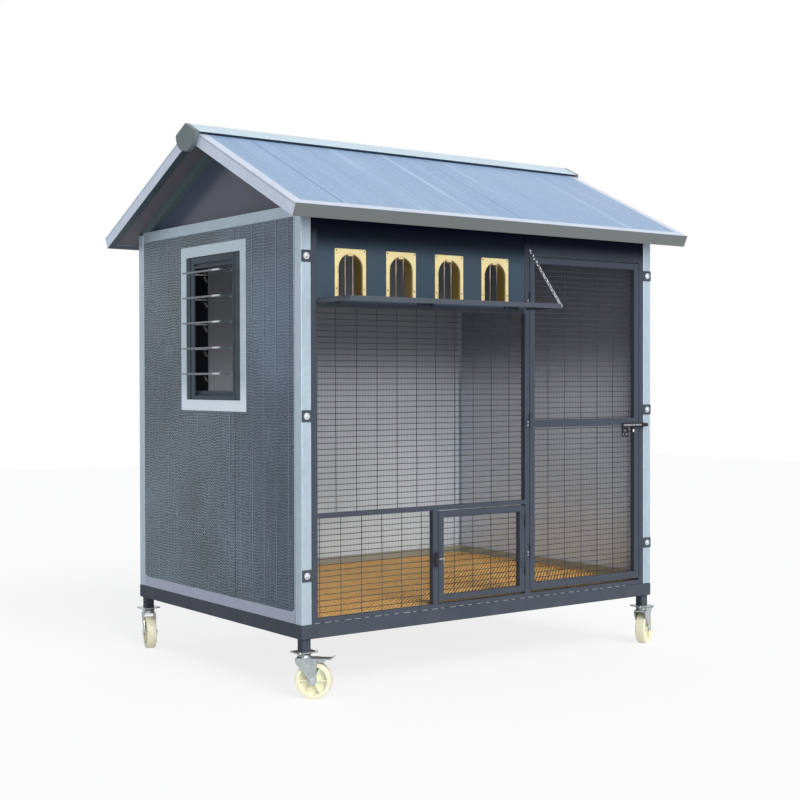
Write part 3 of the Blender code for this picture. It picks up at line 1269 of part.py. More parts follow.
def casters(steel, nylon):
    """Four swivel casters, the front two with a brake."""
    for corner, (x, y) in leg_centres().items():
        top = -BASE_TUBE - LEG_LENGTH - GAP
        half_x, half_y, clip = CASTER_PLATE_X / 2, CASTER_PLATE_Y / 2, CASTER_PLATE_CORNER
        outline = []
        for sx, sy in ((1, 1), (-1, 1), (-1, -1), (1, -1)):
            ends = [
                (x + sx * half_x, y + sy * (half_y - clip)),
                (x + sx * (half_x - clip), y + sy * half_y),
            ]
            outline += ends if sx * sy > 0 else ends[::-1]
        shape = bmesh.new()
        prism(shape, outline, "Z", top - CASTER_PLATE_THICKNESS, top)
        plate_body = made(f"caster_plate_{corner}", shape, steel, round_sides=True)
        race = bmesh.new()
        foot = -BASE_TUBE - LEG_LENGTH - CASTER_PLATE_THICKNESS - RACE_HEIGHT
        rod(race, (x, y, top - CASTER_PLATE_THICKNESS + WELD), (x, y, foot), RACE_RADIUS, 16)
        fuse(plate_body, f"caster_race_{corner}", race)

        caster = bpy.data.objects.new(f"caster_{corner}", None)
        bpy.context.scene.collection.objects.link(caster)
        caster.parent = bpy.data.objects["cage_datum"]
        caster.location = (x, y, -DECK_HEIGHT)
        caster.rotation_euler = (0, 0, radians(CASTER_HEADINGS[corner]))
        braked = corner.startswith("front")
        fork(corner, steel, caster, braked)
        wheel(corner, nylon, caster)
        if braked:
            pedal(corner, steel, caster)


def main():
    clear_scene()
    datum = bpy.data.objects.new("cage_datum", None)
    bpy.context.scene.collection.objects.link(datum)
    datum.location = (-CAGE_WIDTH / 2, FRONT_FACE, DECK_HEIGHT)

    dark_paint = finish_of("dark grey paint", (0.075, 0.088, 0.105), 0.45)
    zinc_sheet = finish_of("galvanised sheet", (0.52, 0.58, 0.62), 0.42, 0.7)
    zinc_steel = finish_of("zinc plated steel", (0.56, 0.58, 0.58), 0.32, 0.9)
    panel_skin = finish_of("wall panel skin", (0.15, 0.19, 0.24), 0.5)
    roof_skin = finish_of("roof panel skin", (0.36, 0.45, 0.58), 0.45)
    black_paint = finish_of("black paint", (0.02, 0.02, 0.022), 0.4)
    gold_sheet = finish_of("gold anodised sheet", (0.72, 0.52, 0.2), 0.35, 0.6)
    timber = finish_of("varnished timber", (0.68, 0.36, 0.12), 0.5)
    nylon = finish_of("cream nylon", (0.82, 0.8, 0.6), 0.4)
    glass = finish_of("louvre glass", (0.6, 0.68, 0.7), 0.08, 0.0, 0.35)

    base_frame(dark_paint)
    corner_posts(zinc_sheet)
    floor_grating(timber)
    walls(panel_skin, zinc_sheet)
    window(zinc_sheet, dark_paint, glass)
    front_frame(dark_paint)
    entrances(dark_paint, gold_sheet, zinc_steel)
    meshes(black_paint)
    door(dark_paint, zinc_steel)
    small_door(dark_paint, black_paint)
    landing_board(dark_paint)
    chain(zinc_steel)
    roof(roof_skin, zinc_sheet)
    ridge_cap(zinc_sheet)
    gables(dark_paint)
    casters(zinc_steel, nylon)


main()
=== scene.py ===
"""The looks of a walk-in pigeon cage on casters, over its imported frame.

Shapes are written in cage coordinates, in metres: x to the right from the left posts' outer face, y back
from the front posts' face, z up from the top of the base frame. Each piece is moved from there to its
place when it is settled, with its object at the origin.
"""

from math import cos, pi, radians, sin, tan

import bmesh
import bpy
from mathutils import Matrix, Vector


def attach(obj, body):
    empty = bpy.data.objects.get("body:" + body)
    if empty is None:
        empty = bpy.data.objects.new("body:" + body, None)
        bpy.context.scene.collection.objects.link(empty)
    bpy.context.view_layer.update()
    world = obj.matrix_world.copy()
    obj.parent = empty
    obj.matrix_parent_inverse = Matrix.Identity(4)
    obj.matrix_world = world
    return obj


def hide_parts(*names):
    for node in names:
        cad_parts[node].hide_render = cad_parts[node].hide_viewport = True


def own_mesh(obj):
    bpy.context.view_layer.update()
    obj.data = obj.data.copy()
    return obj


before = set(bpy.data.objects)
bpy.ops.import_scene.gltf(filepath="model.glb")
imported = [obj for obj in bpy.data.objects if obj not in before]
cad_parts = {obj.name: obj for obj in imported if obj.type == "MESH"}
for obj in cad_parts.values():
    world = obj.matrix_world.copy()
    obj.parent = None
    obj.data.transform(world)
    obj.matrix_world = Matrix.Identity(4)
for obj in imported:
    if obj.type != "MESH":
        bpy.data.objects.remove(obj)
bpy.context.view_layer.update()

# Where the cage's corner stands
CORNER = Vector((-1.0, -0.675, 0.300005))

# Body
WIDTH = 2.000
DEPTH = 1.454
POST_HEIGHT = 1.6805
POST = 0.050
GAP = 0.0003

# Base frame and legs
BASE_TUBE = 0.060
BEARER = 0.040
BEARER_COUNT = 3
LEG_TUBE = 0.040
LEG_FOOT = -0.110

# Walls
SIDE_TOP = POST_HEIGHT + 0.010
PANEL_SEAM = 0.532
FILM_CORNER = 0.022
FILM_FOOT = 0.0475
FILM_TOP = 1.6435
REAR_FILM_TOP = 1.6335
FILM_FRONT = 0.0572
FILM_BACK = 1.3968

# Front frame
FRAME_DEPTH = 0.028
RAIL = 0.020
FRAME_LEFT = 0.0503
FRAME_RIGHT = 1.9497
LEFT_OPENING = 0.0783
MID_POST_LEFT = 1.1917
MID_POST_RIGHT = 1.2197
RIGHT_STILE_LEFT = 1.9214
DIVIDER_LEFT = 0.6674
DIVIDER_RIGHT = 0.6954
MID_RAIL_FOOT = 0.424
MID_RAIL_TOP = 0.444
BOARD_TOP = 1.3160
BOARD_RAIL_TOP = 1.3065
BOARD_RAIL_FOOT = 1.2825
TOP_RAIL_FOOT = 1.6525
TAB_HEIGHTS = (0.197, 0.84025, 1.4835)
HINGE_SETBACK = 0.006
KEEPER_LEFT = 1.9254
SHEET_FOOT = 1.544

# Welded tubes reach into each other by LAP, and BEAD is the radius of the weld in their corners
LAP = 0.002
BEAD = 0.0016

# Wire mesh
WIRE_RADIUS = 0.0016
ROW_PITCH = 0.0242
COLUMN_PITCH = 0.104

# Doors
DOOR = (1.2217, 1.9194, 0.031, 1.540)
DOOR_STILE = 0.030
DOOR_RAIL = 0.034
DOOR_MID_RAIL = 0.768
DOOR_PIVOT = 1.2207
SMALL_DOOR = (0.6974, 1.1897, 0.031, 0.418)
SMALL_STILE = 0.029
SMALL_RAIL = 0.026
SMALL_PIVOT = 1.1907
LATCH_HEIGHT = 0.2135
BOLT_HEIGHT = 0.768
BOLT_AXIS = -0.014
HINGE_HEIGHTS = (0.215, 0.802, 1.350)
SMALL_HINGE_HEIGHTS = (0.141, 0.356)
KNUCKLE = 0.030
KNUCKLE_RADIUS = 0.0055

# Entrances
ENTRANCES = (0.2413, 0.499533, 0.757767, 1.016)
ENTRANCE_WIDTH = 0.155
ENTRANCE_FOOT = 1.318
ENTRANCE_TOP = 1.522
ARCH_RADIUS = 0.060
ARCH_SPRING = 1.442
BOB_HEIGHT = 1.494

# Landing board
BOARD_LEFT = 0.0703
BOARD_RIGHT = 1.1887
BOARD_FRONT = -0.241
BOARD_BACK = -0.0121
BOARD_LIP = 0.020
SHEET = 0.003
CHAIN_HOOK = (MID_POST_LEFT + 0.0175, -0.010, BOARD_TOP + 0.253)

# Roof
ROOF_PITCH = radians(25.7)
RIDGE_HEIGHT = 2.086371
ROOF_RUN = 0.9571
ROOF_THICKNESS = 0.050
ROOF_LIP = 0.045
ROOF_OVERHANG = 0.110
ROOF_SEAMS = (0.145, 1.095)

# Window
WINDOW = (0.436, 1.018, 0.850, 1.587)
WINDOW_TRIM = 0.048
WINDOW_OPENING = (0.556, 0.898, 0.920, 1.498)
LOUVRE_HEIGHTS = (1.463, 1.35075, 1.2385, 1.12625, 1.014)
LOUVRE_PIVOT = 0.034

# Casters
WHEEL_RADIUS = 0.075
CASTER_TRAIL = 0.040
FORK_CROWN = 0.1655
PEDAL_PIN = (0.050, FORK_CROWN - 0.0085)
FLOOR_DROP = 0.3
CASTERS = {
    "front_left": (0.030, 0.030, -45),
    "front_right": (1.970, 0.030, 27),
    "rear_left": (0.030, 1.424, -108),
    "rear_right": (1.970, 1.424, 60),
}

# Camera
LENS = 63.525
EYE = (-4.0377, -5.4534, 1.2844)
GAZE = (0.5941, 0.8043, -0.0141)
ROLL = -0.0019

# Turns a fastener's head to the front
FORWARD = (pi / 2, 0.0, 0.0)


class Graph:
    """Adds nodes to a tree, and links or sets their sockets."""

    def __init__(self, tree):
        self.tree = tree

    def put(self, socket, value):
        if isinstance(value, bpy.types.NodeSocket):
            self.tree.links.new(value, socket)
        else:
            socket.default_value = value

    def add(self, kind, inputs=None, **settings):
        node = self.tree.nodes.new(kind)
        for name, value in settings.items():
            setattr(node, name, value)
        for key, value in (inputs or {}).items():
            self.put(node.inputs[key], value)
        return node

    def math(self, operation, *values):
        return self.add("ShaderNodeMath", dict(enumerate(values)), operation=operation).outputs[0]

    def times(self, one, other):
        return self.math("MULTIPLY", one, other)

    def plus(self, one, other):
        return self.math("ADD", one, other)

    def minus(self, one, other):
        return self.math("SUBTRACT", one, other)

    def inverse(self, mask):
        """What a mask from 0 to 1 leaves out."""
        return self.math("SUBTRACT", 1.0, mask)

    def mix(self, share, low, high):
        """A colour between low and high, each a socket or red, green and blue."""
        low, high = ((*colour, 1.0) if isinstance(colour, tuple) else colour for colour in (low, high))
        return self.add("ShaderNodeMix", {0: share, 6: low, 7: high}, data_type="RGBA").outputs[2]

    def ramp(self, value, low, high):
        """0 where value is under low, 1 where it is over high, with soft ends."""
        inputs = {"Value": value, "From Min": low, "From Max": high}
        return self.add("ShaderNodeMapRange", inputs, interpolation_type="SMOOTHSTEP").outputs[0]

    def apart(self, vector):
        """The x, y and z of a vector."""
        return self.add("ShaderNodeSeparateXYZ", {0: vector}).outputs

    def scaled(self, vector, scale):
        return self.add("ShaderNodeVectorMath", {0: vector, 1: scale}, operation="MULTIPLY").outputs[0]

    def noise(self, vector, scale, detail=2.0, roughness=0.5):
        inputs = {"Vector": vector, "Scale": scale, "Detail": detail, "Roughness": roughness}
        return self.add("ShaderNodeTexNoise", inputs).outputs[0]

    def group(self, tree, inputs):
        node = self.add("ShaderNodeGroup", node_tree=tree)
        for key, value in inputs.items():
            self.put(node.inputs[key], value)
        return node.outputs


def new_group(name, kind, inputs, outputs):
    """An empty node group with named sockets, its graph, its inputs and its outputs."""
    tree = bpy.data.node_groups.new(name, kind)
    for label, default in inputs.items():
        socket_type = {
            float: "NodeSocketFloat",
            int: "NodeSocketInt",
            tuple: "NodeSocketVector",
            str: "NodeSocketMaterial",
            type(None): "NodeSocketGeometry",
        }[type(default)]
        socket = tree.interface.new_socket(label, in_out="INPUT", socket_type=socket_type)
        if default not in (None, ""):
            socket.default_value = default
    for label, socket_type in outputs.items():
        tree.interface.new_socket(label, in_out="OUTPUT", socket_type=socket_type)
    graph = Graph(tree)
    return graph, graph.add("NodeGroupInput").outputs, graph.add("NodeGroupOutput").inputs


VALUE = "NodeSocketFloat"
HERE = (0.0, 0.0, 0.0)


def edge_wear_and_sheen_group():
    """Where corners and edges are rubbed, broken up by noise; zinc uses it for a painted highlight."""
    graph, given, out = new_group(
        "edge wear and sheen", "ShaderNodeTree", {"Place": HERE, "Radius": 0.002, "Amount": 0.5}, {"Mask": VALUE}
    )
    eased = graph.add("ShaderNodeBevel", {"Radius": given["Radius"]}, samples=4).outputs[0]
    normal = graph.add("ShaderNodeNewGeometry").outputs["Normal"]
    dot = graph.add("ShaderNodeVectorMath", {0: eased, 1: normal}, operation="DOT_PRODUCT")
    edge = graph.ramp(graph.inverse(dot.outputs["Value"]), 0.01, 0.12)
    patchy = graph.ramp(graph.noise(given["Place"], 38.0, 5.0, 0.62), 0.38, 0.66)
    mask = graph.times(graph.times(edge, patchy), given["Amount"])
    graph.put(out["Mask"], mask)
    return graph.tree


def dust_group():
    """Dust that settles low down and on faces that look up."""
    graph, given, out = new_group(
        "dust", "ShaderNodeTree", {"Place": HERE, "Amount": 0.3, "Height": 0.6}, {"Mask": VALUE}
    )
    z = graph.apart(given["Place"])[2]
    low = graph.inverse(graph.ramp(z, 0.1, given["Height"]))
    up = graph.ramp(graph.apart(graph.add("ShaderNodeNewGeometry").outputs["Normal"])[2], 0.4, 1.0)
    patchy = graph.ramp(graph.noise(given["Place"], 9.0, 6.0, 0.6), 0.35, 0.75)
    where = graph.plus(low, graph.times(up, 0.6))
    graph.put(out["Mask"], graph.times(graph.times(where, patchy), given["Amount"]))
    return graph.tree


def streak_group():
    """Rolled or brushed streaks, as long as the stretch makes them."""
    inputs = {"Place": HERE, "Stretch": (1.0, 1.0, 1.0)}
    graph, given, out = new_group("streaks", "ShaderNodeTree", inputs, {"Shade": VALUE, "Height": VALUE})
    stretched = graph.scaled(given["Place"], given["Stretch"])
    fine = graph.noise(stretched, 1.0, 4.0, 0.6)
    broad = graph.noise(given["Place"], 3.0, 3.0, 0.5)
    graph.put(out["Shade"], graph.plus(graph.times(fine, 0.6), graph.times(broad, 0.4)))
    graph.put(out["Height"], fine)
    return graph.tree


def spangle_group():
    """The crystals of hot dip zinc."""
    inputs = {"Place": HERE, "Size": 0.012}
    outputs = {"Shade": VALUE, "Height": VALUE}
    graph, given, out = new_group("zinc spangle", "ShaderNodeTree", inputs, outputs)
    scale = graph.math("DIVIDE", 1.0, given["Size"])
    inputs = {"Vector": given["Place"], "Scale": scale}
    cells = graph.add("ShaderNodeTexVoronoi", inputs, feature="SMOOTH_F1")
    tone = graph.apart(cells.outputs["Color"])[0]
    cloud = graph.noise(given["Place"], 6.0, 4.0, 0.55)
    graph.put(out["Shade"], graph.plus(graph.times(tone, 0.45), graph.times(cloud, 0.55)))
    graph.put(out["Height"], cells.outputs["Distance"])
    return graph.tree


def ribs_group():
    """Rolled ribs: one for each pitch along a direction."""
    graph, given, out = new_group(
        "ribs", "ShaderNodeTree", {"Along": 0.0, "Pitch": 0.02, "Share": 0.3}, {"Mask": VALUE}
    )
    turn = graph.math("DIVIDE", given["Along"], given["Pitch"])
    wave = graph.math("PINGPONG", turn, 0.5)
    graph.put(out["Mask"], graph.ramp(wave, 0.0, given["Share"]))
    return graph.tree


def film_group():
    """A protective film rolled on with fine wavy rows, loose creases and soft clouds."""
    inputs = {"Place": HERE, "Across": 0.0, "Up": 0.0, "Row": 0.0126, "Wave": 0.019}
    outputs = {"Rows": VALUE, "Creases": VALUE, "Cloud": VALUE}
    graph, given, out = new_group("rolled film", "ShaderNodeTree", inputs, outputs)
    zigzag = graph.math("PINGPONG", graph.math("DIVIDE", given["Across"], given["Wave"]), 0.5)
    drift = graph.noise(graph.scaled(given["Place"], (14.0, 14.0, 5.0)), 1.0, 2.0)
    row = graph.plus(graph.math("DIVIDE", given["Up"], given["Row"]), graph.times(zigzag, 1.1))
    row = graph.plus(row, graph.times(drift, 2.4))
    ridges = graph.math("PINGPONG", row, 0.5)
    broken = graph.noise(graph.scaled(given["Place"], (52.0, 52.0, 80.0)), 1.0, 2.0, 0.6)
    rows = graph.times(graph.ramp(ridges, 0.12, 0.34), graph.ramp(broken, 0.22, 0.52))
    graph.put(out["Rows"], rows)
    crease = graph.noise(graph.scaled(given["Place"], (22.0, 22.0, 0.9)), 1.0, 3.0, 0.7)
    line = graph.inverse(graph.ramp(graph.math("ABSOLUTE", graph.minus(crease, 0.5)), 0.0, 0.010))
    patchy = graph.ramp(graph.noise(given["Place"], 4.0, 2.0), 0.50, 0.66)
    graph.put(out["Creases"], graph.times(line, patchy))
    graph.put(out["Cloud"], graph.noise(given["Place"], 1.6, 4.0, 0.5))
    return graph.tree


EDGE_WEAR_AND_SHEEN = edge_wear_and_sheen_group()
DUST = dust_group()
STREAKS = streak_group()
SPANGLE = spangle_group()
RIBS = ribs_group()
FILM = film_group()


def new_finish(name, roughness, metallic=0.0):
    """A material, its graph, its Principled shader and the place on the object."""
    material = bpy.data.materials.new(name)
    material.use_nodes = True
    graph = Graph(material.node_tree)
    shader = material.node_tree.nodes["Principled BSDF"]
    shader.inputs["Roughness"].default_value = roughness
    shader.inputs["Metallic"].default_value = metallic
    return material, graph, shader, graph.add("ShaderNodeTexCoord").outputs["Object"]


def linear(red, green, blue):
    """A colour given in 0 to 255 screen values, as the shader wants it."""
    return tuple(((value / 255 + 0.055) / 1.055) ** 2.4 for value in (red, green, blue))


def toned(colour, share):
    """A colour made darker or lighter, never past white."""
    return tuple(min(1.0, share * value) for value in colour)


def relief(graph, shader, height, strength, distance):
    """Turns a height into bumps."""
    inputs = {"Height": height, "Strength": strength, "Distance": distance}
    graph.put(shader.inputs["Normal"], graph.add("ShaderNodeBump", inputs).outputs[0])


def painted(name, colour, worn=(0.30, 0.31, 0.32), roughness=0.42, wear=0.35, dust=0.08, peel=0.25,
            eave=None, shine=0.22):
    """Sprayed or powder coated steel, rubbed on its edges and dusty low down.

    eave gives two heights: above them a painted shade darkens the paint, as under the eave.
    """
    material, graph, shader, place = new_finish(name, roughness)
    shader.inputs["Specular IOR Level"].default_value = shine
    cloud = graph.noise(place, 2.2, 3.0)
    deep = toned(colour, 0.86)
    light = toned(colour, 1.16)
    base = graph.mix(cloud, deep, light)
    rubbed = graph.group(EDGE_WEAR_AND_SHEEN, {"Place": place, "Radius": 0.0025, "Amount": wear})["Mask"]
    base = graph.mix(rubbed, base, worn)
    dusty = graph.group(DUST, {"Place": place, "Amount": dust, "Height": 0.7})["Mask"]
    base = graph.mix(dusty, base, (0.30, 0.28, 0.26))
    if eave:
        # Painted shade under the eave: the paint turns near black above the eave heights.
        eave_shade = graph.times(graph.ramp(graph.apart(place)[2], *eave), 0.95)
        base = graph.mix(eave_shade, base, (0.0005, 0.003, 0.012))
    graph.put(shader.inputs["Base Color"], base)
    rough = graph.plus(roughness - 0.06, graph.times(graph.plus(cloud, dusty), 0.14))
    graph.put(shader.inputs["Roughness"], rough)
    relief(graph, shader, graph.noise(place, 420.0, 2.0), peel, 0.0004)
    return material


def zinc(name, colour, stretch, roughness=0.38, metallic=0.45, spangle=0.014, contrast=0.22,
         tint=None, rim=0.0):
    """Galvanised sheet or tube: spangle under rolled streaks.

    tint is another colour and the heights over which it turns into the first, and rim is the
    strength of a painted highlight on the edges.
    """
    material, graph, shader, place = new_finish(name, roughness, metallic)
    crystals = graph.group(SPANGLE, {"Place": place, "Size": spangle})
    rolled = graph.group(STREAKS, {"Place": place, "Stretch": stretch})
    shade = graph.plus(graph.times(crystals["Shade"], 0.5), graph.times(rolled["Shade"], 0.5))
    deep = toned(colour, 1 - contrast)
    light = toned(colour, 1 + contrast)
    base = graph.mix(graph.ramp(shade, 0.25, 0.75), deep, light)
    if tint:
        other, foot, head = tint
        base = graph.mix(graph.ramp(graph.apart(place)[2], foot, head), other, base)
    if rim:
        # A painted highlight along the rounded edges.
        edge = graph.group(EDGE_WEAR_AND_SHEEN, {"Place": place, "Radius": 0.004, "Amount": rim})["Mask"]
        base = graph.mix(edge, base, (0.86, 0.90, 0.92))
    dusty = graph.group(DUST, {"Place": place, "Amount": 0.12, "Height": 0.6})["Mask"]
    base = graph.mix(dusty, base, (0.42, 0.41, 0.44))
    graph.put(shader.inputs["Base Color"], base)
    graph.put(shader.inputs["Roughness"], graph.plus(roughness - 0.1, graph.times(shade, 0.24)))
    relief(graph, shader, rolled["Height"], 0.12, 0.0006)
    return material


def filmed(name, dark, light, front_light, across, up):
    """A panel's skin under its protective film, violet at the front end and teal at the other.

    across and up are the axis numbers of the pattern.
    """
    material, graph, shader, place = new_finish(name, 0.36)
    shader.inputs["Specular IOR Level"].default_value = 0.3
    axes = graph.apart(place)
    pattern = graph.group(FILM, {"Place": place, "Across": axes[across], "Up": axes[up]})
    cloud = graph.ramp(pattern["Cloud"], 0.25, 0.75)
    shade = graph.plus(graph.times(pattern["Rows"], 0.72), graph.times(cloud, 0.28))
    broad = graph.noise(graph.scaled(place, (1.0, 1.0, 1.5)), 1.3, 2.0, 0.45)
    shade = graph.times(shade, graph.plus(0.62, graph.times(broad, 0.72)))
    bloom = graph.times(graph.ramp(broad, 0.52, 0.68), 0.16)
    lit = graph.mix(graph.ramp(axes[across], -0.7, 0.3), front_light, light)
    base = graph.mix(shade, dark, lit)
    base = graph.mix(bloom, base, toned(light, 1.3))
    base = graph.mix(graph.times(pattern["Creases"], 0.4), base, toned(light, 1.9))
    # A pale line at each rib and a darker band beside it: a painted highlight and a painted shade.
    rib = graph.group(RIBS, {"Along": axes[across], "Pitch": 0.096, "Share": 0.018})["Mask"]
    loose = graph.ramp(pattern["Cloud"], 0.36, 0.54)
    line = graph.times(graph.inverse(rib), loose)
    beside = graph.plus(axes[across], 0.006)
    groove = graph.group(RIBS, {"Along": beside, "Pitch": 0.096, "Share": 0.035})["Mask"]
    shaded = graph.times(graph.inverse(groove), loose)
    base = graph.mix(graph.times(shaded, 0.7), base, dark)
    base = graph.mix(graph.times(line, 0.9), base, toned(light, 1.5))
    graph.put(shader.inputs["Base Color"], base)
    graph.put(shader.inputs["Roughness"], graph.plus(0.26, graph.times(pattern["Cloud"], 0.25)))
    height = graph.plus(pattern["Rows"], graph.times(pattern["Creases"], 2.0))
    relief(graph, shader, graph.plus(height, rib), 0.35, 0.0007)
    return material


def skinned(name, colour, along, shaded_end=None):
    """The plain inner skin of a wall, with fine upright ribs and a painted shade towards the roof.

    The last argument gives two places on the wall: before the first, by the window, it has painted
    shade.
    """
    material, graph, shader, place = new_finish(name, 0.5)
    axes = graph.apart(place)
    rib = graph.group(RIBS, {"Along": axes[along], "Pitch": 0.020, "Share": 0.16})["Mask"]
    cloud = graph.noise(place, 1.8, 3.0)
    base = graph.mix(cloud, toned(colour, 0.9), toned(colour, 1.06))
    # The groove beside each rib is darkened: a painted shade.
    base = graph.mix(graph.times(graph.inverse(rib), 0.5), base, toned(colour, 0.4))
    if shaded_end:
        # Painted shade at the window end of the wall.
        end_shade = graph.times(graph.inverse(graph.ramp(axes[along], *shaded_end)), 0.55)
        base = graph.mix(end_shade, base, toned(colour, 0.3))
    # Painted shade towards the roof.
    roof_shade = graph.times(graph.ramp(axes[2], 1.16, 1.52), 0.9)
    base = graph.mix(roof_shade, base, toned(colour, 0.22))
    dusty = graph.group(DUST, {"Place": place, "Amount": 0.2, "Height": 0.6})["Mask"]
    graph.put(shader.inputs["Base Color"], graph.mix(dusty, base, (0.34, 0.31, 0.27)))
    relief(graph, shader, rib, 0.5, 0.0012)
    return material


# The frame and the dark sheet get a painted shade at their tops, under the eave.
FRAME_PAINT = painted("dark grey frame paint", linear(69, 75, 86), worn=linear(140, 146, 155), wear=0.3,
                      eave=(1.84, 1.91), shine=0.05)
BOARD_PAINT = painted("dark grey board paint", linear(72, 78, 88), worn=linear(150, 156, 165))
PANEL_PAINT = painted("dark sheet paint", linear(65, 79, 92), roughness=0.3, wear=0.1, dust=0.02,
                      peel=0.12, eave=(1.79, 1.89), shine=0.05)
GABLE_PAINT = painted("glossy gable sheet", linear(76, 82, 100), roughness=0.2, wear=0.05, dust=0.02,
                      peel=0.1)
RAFTER_PAINT = painted("teal grey rafter", linear(82, 96, 100), wear=0.1, dust=0.05)
WIRE_PAINT = painted("black dipped wire", linear(54, 58, 70), worn=linear(110, 112, 120), wear=0.3,
                     dust=0.1)
BLACK_STEEL = painted("black fitting steel", linear(34, 35, 40), worn=linear(120, 120, 124), wear=0.5,
                      dust=0.1)
WINDOW_PAINT = painted("window frame paint", linear(52, 68, 80), wear=0.1, dust=0.04)
POST_ZINC = zinc("galvanised post", linear(172, 188, 200), (60.0, 60.0, 0.8), contrast=0.08, rim=0.9)
CHANNEL_ZINC = zinc("galvanised channel", linear(164, 182, 194), (6.0, 6.0, 60.0), spangle=0.02,
                    contrast=0.08, tint=(linear(160, 165, 184), 0.36, 0.60), rim=0.4)
# The trim's tint makes its foot paler: a painted highlight.
TRIM_ZINC = zinc("galvanised window trim", linear(184, 200, 210), (30.0, 30.0, 30.0), spangle=0.01,
                 contrast=0.08, tint=(linear(220, 228, 240), 1.17, 1.30), rim=0.5)
RIDGE_ZINC = zinc("galvanised ridge cap", linear(190, 210, 222), (1.5, 40.0, 40.0), contrast=0.1,
                  metallic=0.3)
END_PAINT = painted("ridge end plate", linear(108, 120, 122), wear=0.15, dust=0.0)
FINE = (60.0, 60.0, 60.0)
BRIGHT_STEEL = zinc("bright zinc plate", linear(214, 218, 224), (90.0, 90.0, 90.0), roughness=0.25,
                    metallic=0.85, spangle=0.006, contrast=0.15)
FORK_STEEL = zinc("zinc plated fork", linear(186, 192, 194), FINE, roughness=0.3, metallic=0.75,
                  spangle=0.008, contrast=0.2)
BOB_STEEL = zinc("dull bob wire", linear(196, 176, 160), FINE, roughness=0.4, metallic=0.5,
                 spangle=0.006, contrast=0.15)
BOLT_STEEL = zinc("worn bolt rod", linear(150, 153, 160), FINE, roughness=0.35, metallic=0.6,
                  spangle=0.006, contrast=0.3)
BLADE_STEEL = zinc("blade clip", linear(206, 212, 220), FINE, roughness=0.35, metallic=0.4,
                   spangle=0.006, contrast=0.2)
# The rear skin has a painted shade at its left end, by the window; all skins have one towards the roof.
INNER_SKIN = skinned("pale inner skin across", linear(232, 242, 255), 0, shaded_end=(-0.30, 0.05))
INNER_SIDE_SKIN = skinned("pale inner skin along", linear(222, 234, 254), 1)
FILM_SHADES = (linear(4, 16, 26), linear(129, 149, 164), linear(102, 118, 141))
WALL_FILM = filmed("side wall film", *FILM_SHADES, across=1, up=2)
REAR_FILM = filmed("rear wall film", *FILM_SHADES, across=0, up=2)


def edging_zinc():
    """Folded edging: bright on top and the verges; painted shade on the eave's face, darker underneath.
    """
    material = zinc("galvanised roof edging", linear(200, 210, 228), (12.0, 12.0, 12.0), contrast=0.08,
                    metallic=0.3)
    graph = Graph(material.node_tree)
    shader = material.node_tree.nodes["Principled BSDF"]
    bright = shader.inputs["Base Color"].links[0].from_socket
    up = graph.apart(graph.add("ShaderNodeNewGeometry").outputs["True Normal"])[2]
    # Faces turned down get a painted shade: grey on the fascia, darker under the lip.
    fascia_shade = graph.inverse(graph.ramp(up, -0.38, -0.25))
    under = graph.inverse(graph.ramp(up, -0.80, -0.65))
    base = graph.mix(fascia_shade, bright, linear(112, 117, 118))
    graph.put(shader.inputs["Base Color"], graph.mix(under, base, linear(70, 80, 90)))
    return material


def golden():
    """Gold anodised sheet, brushed, a little darker at its edges, with painted shade inside its tunnel.
    """
    material, graph, shader, place = new_finish("gold anodised sheet", 0.34, 0.35)
    rolled = graph.group(STREAKS, {"Place": place, "Stretch": (30.0, 30.0, 240.0)})
    base = graph.mix(rolled["Shade"], linear(220, 199, 134), linear(244, 229, 180))
    rim = graph.group(EDGE_WEAR_AND_SHEEN, {"Place": place, "Radius": 0.003, "Amount": 0.9})["Mask"]
    base = graph.mix(rim, base, linear(140, 96, 44))
    # A painted shade inside the tunnel.
    inside = graph.ramp(graph.apart(place)[1], CORNER.y + 0.004, CORNER.y + 0.012)
    graph.put(shader.inputs["Base Color"], graph.mix(inside, base, linear(158, 132, 62)))
    relief(graph, shader, rolled["Height"], 0.1, 0.0005)
    return material


def varnished():
    """Varnished strands, each a little different: pale crowns, red brown painted shade on the sides."""
    material, graph, shader, place = new_finish("varnished timber", 0.5)
    shader.inputs["Specular IOR Level"].default_value = 0.3
    grain = graph.group(STREAKS, {"Place": place, "Stretch": (140.0, 40.0, 140.0)})
    base = graph.mix(grain["Shade"], linear(255, 202, 112), linear(255, 224, 148))
    strand = graph.ramp(graph.noise(place, 42.0, 1.0), 0.40, 0.66)
    base = graph.mix(graph.times(strand, 0.7), base, linear(255, 170, 70))
    # Below the crowns, a painted shade darkens the sides and the boards.
    crown = graph.ramp(graph.apart(place)[2], 0.3128, 0.3170)
    base = graph.mix(crown, linear(132, 62, 18), base)
    graph.put(shader.inputs["Base Color"], base)
    graph.put(shader.inputs["Roughness"], graph.plus(0.38, graph.times(grain["Shade"], 0.2)))
    relief(graph, shader, grain["Height"], 0.25, 0.0006)
    return material


def moulded_nylon():
    """Cream nylon with faint flow marks, grubby where it rolls."""
    material, graph, shader, place = new_finish("cream nylon", 0.42)
    shader.inputs["Subsurface Weight"].default_value = 0.15
    shader.inputs["Subsurface Scale"].default_value = 0.01
    cloud = graph.noise(place, 26.0, 4.0, 0.6)
    base = graph.mix(cloud, linear(226, 224, 188), linear(244, 243, 222))
    specks = graph.ramp(graph.noise(place, 150.0, 3.0, 0.7), 0.62, 0.74)
    base = graph.mix(graph.times(specks, 0.35), base, linear(150, 145, 105))
    graph.put(shader.inputs["Base Color"], base)
    relief(graph, shader, graph.noise(place, 300.0, 2.0), 0.15, 0.0004)
    return material


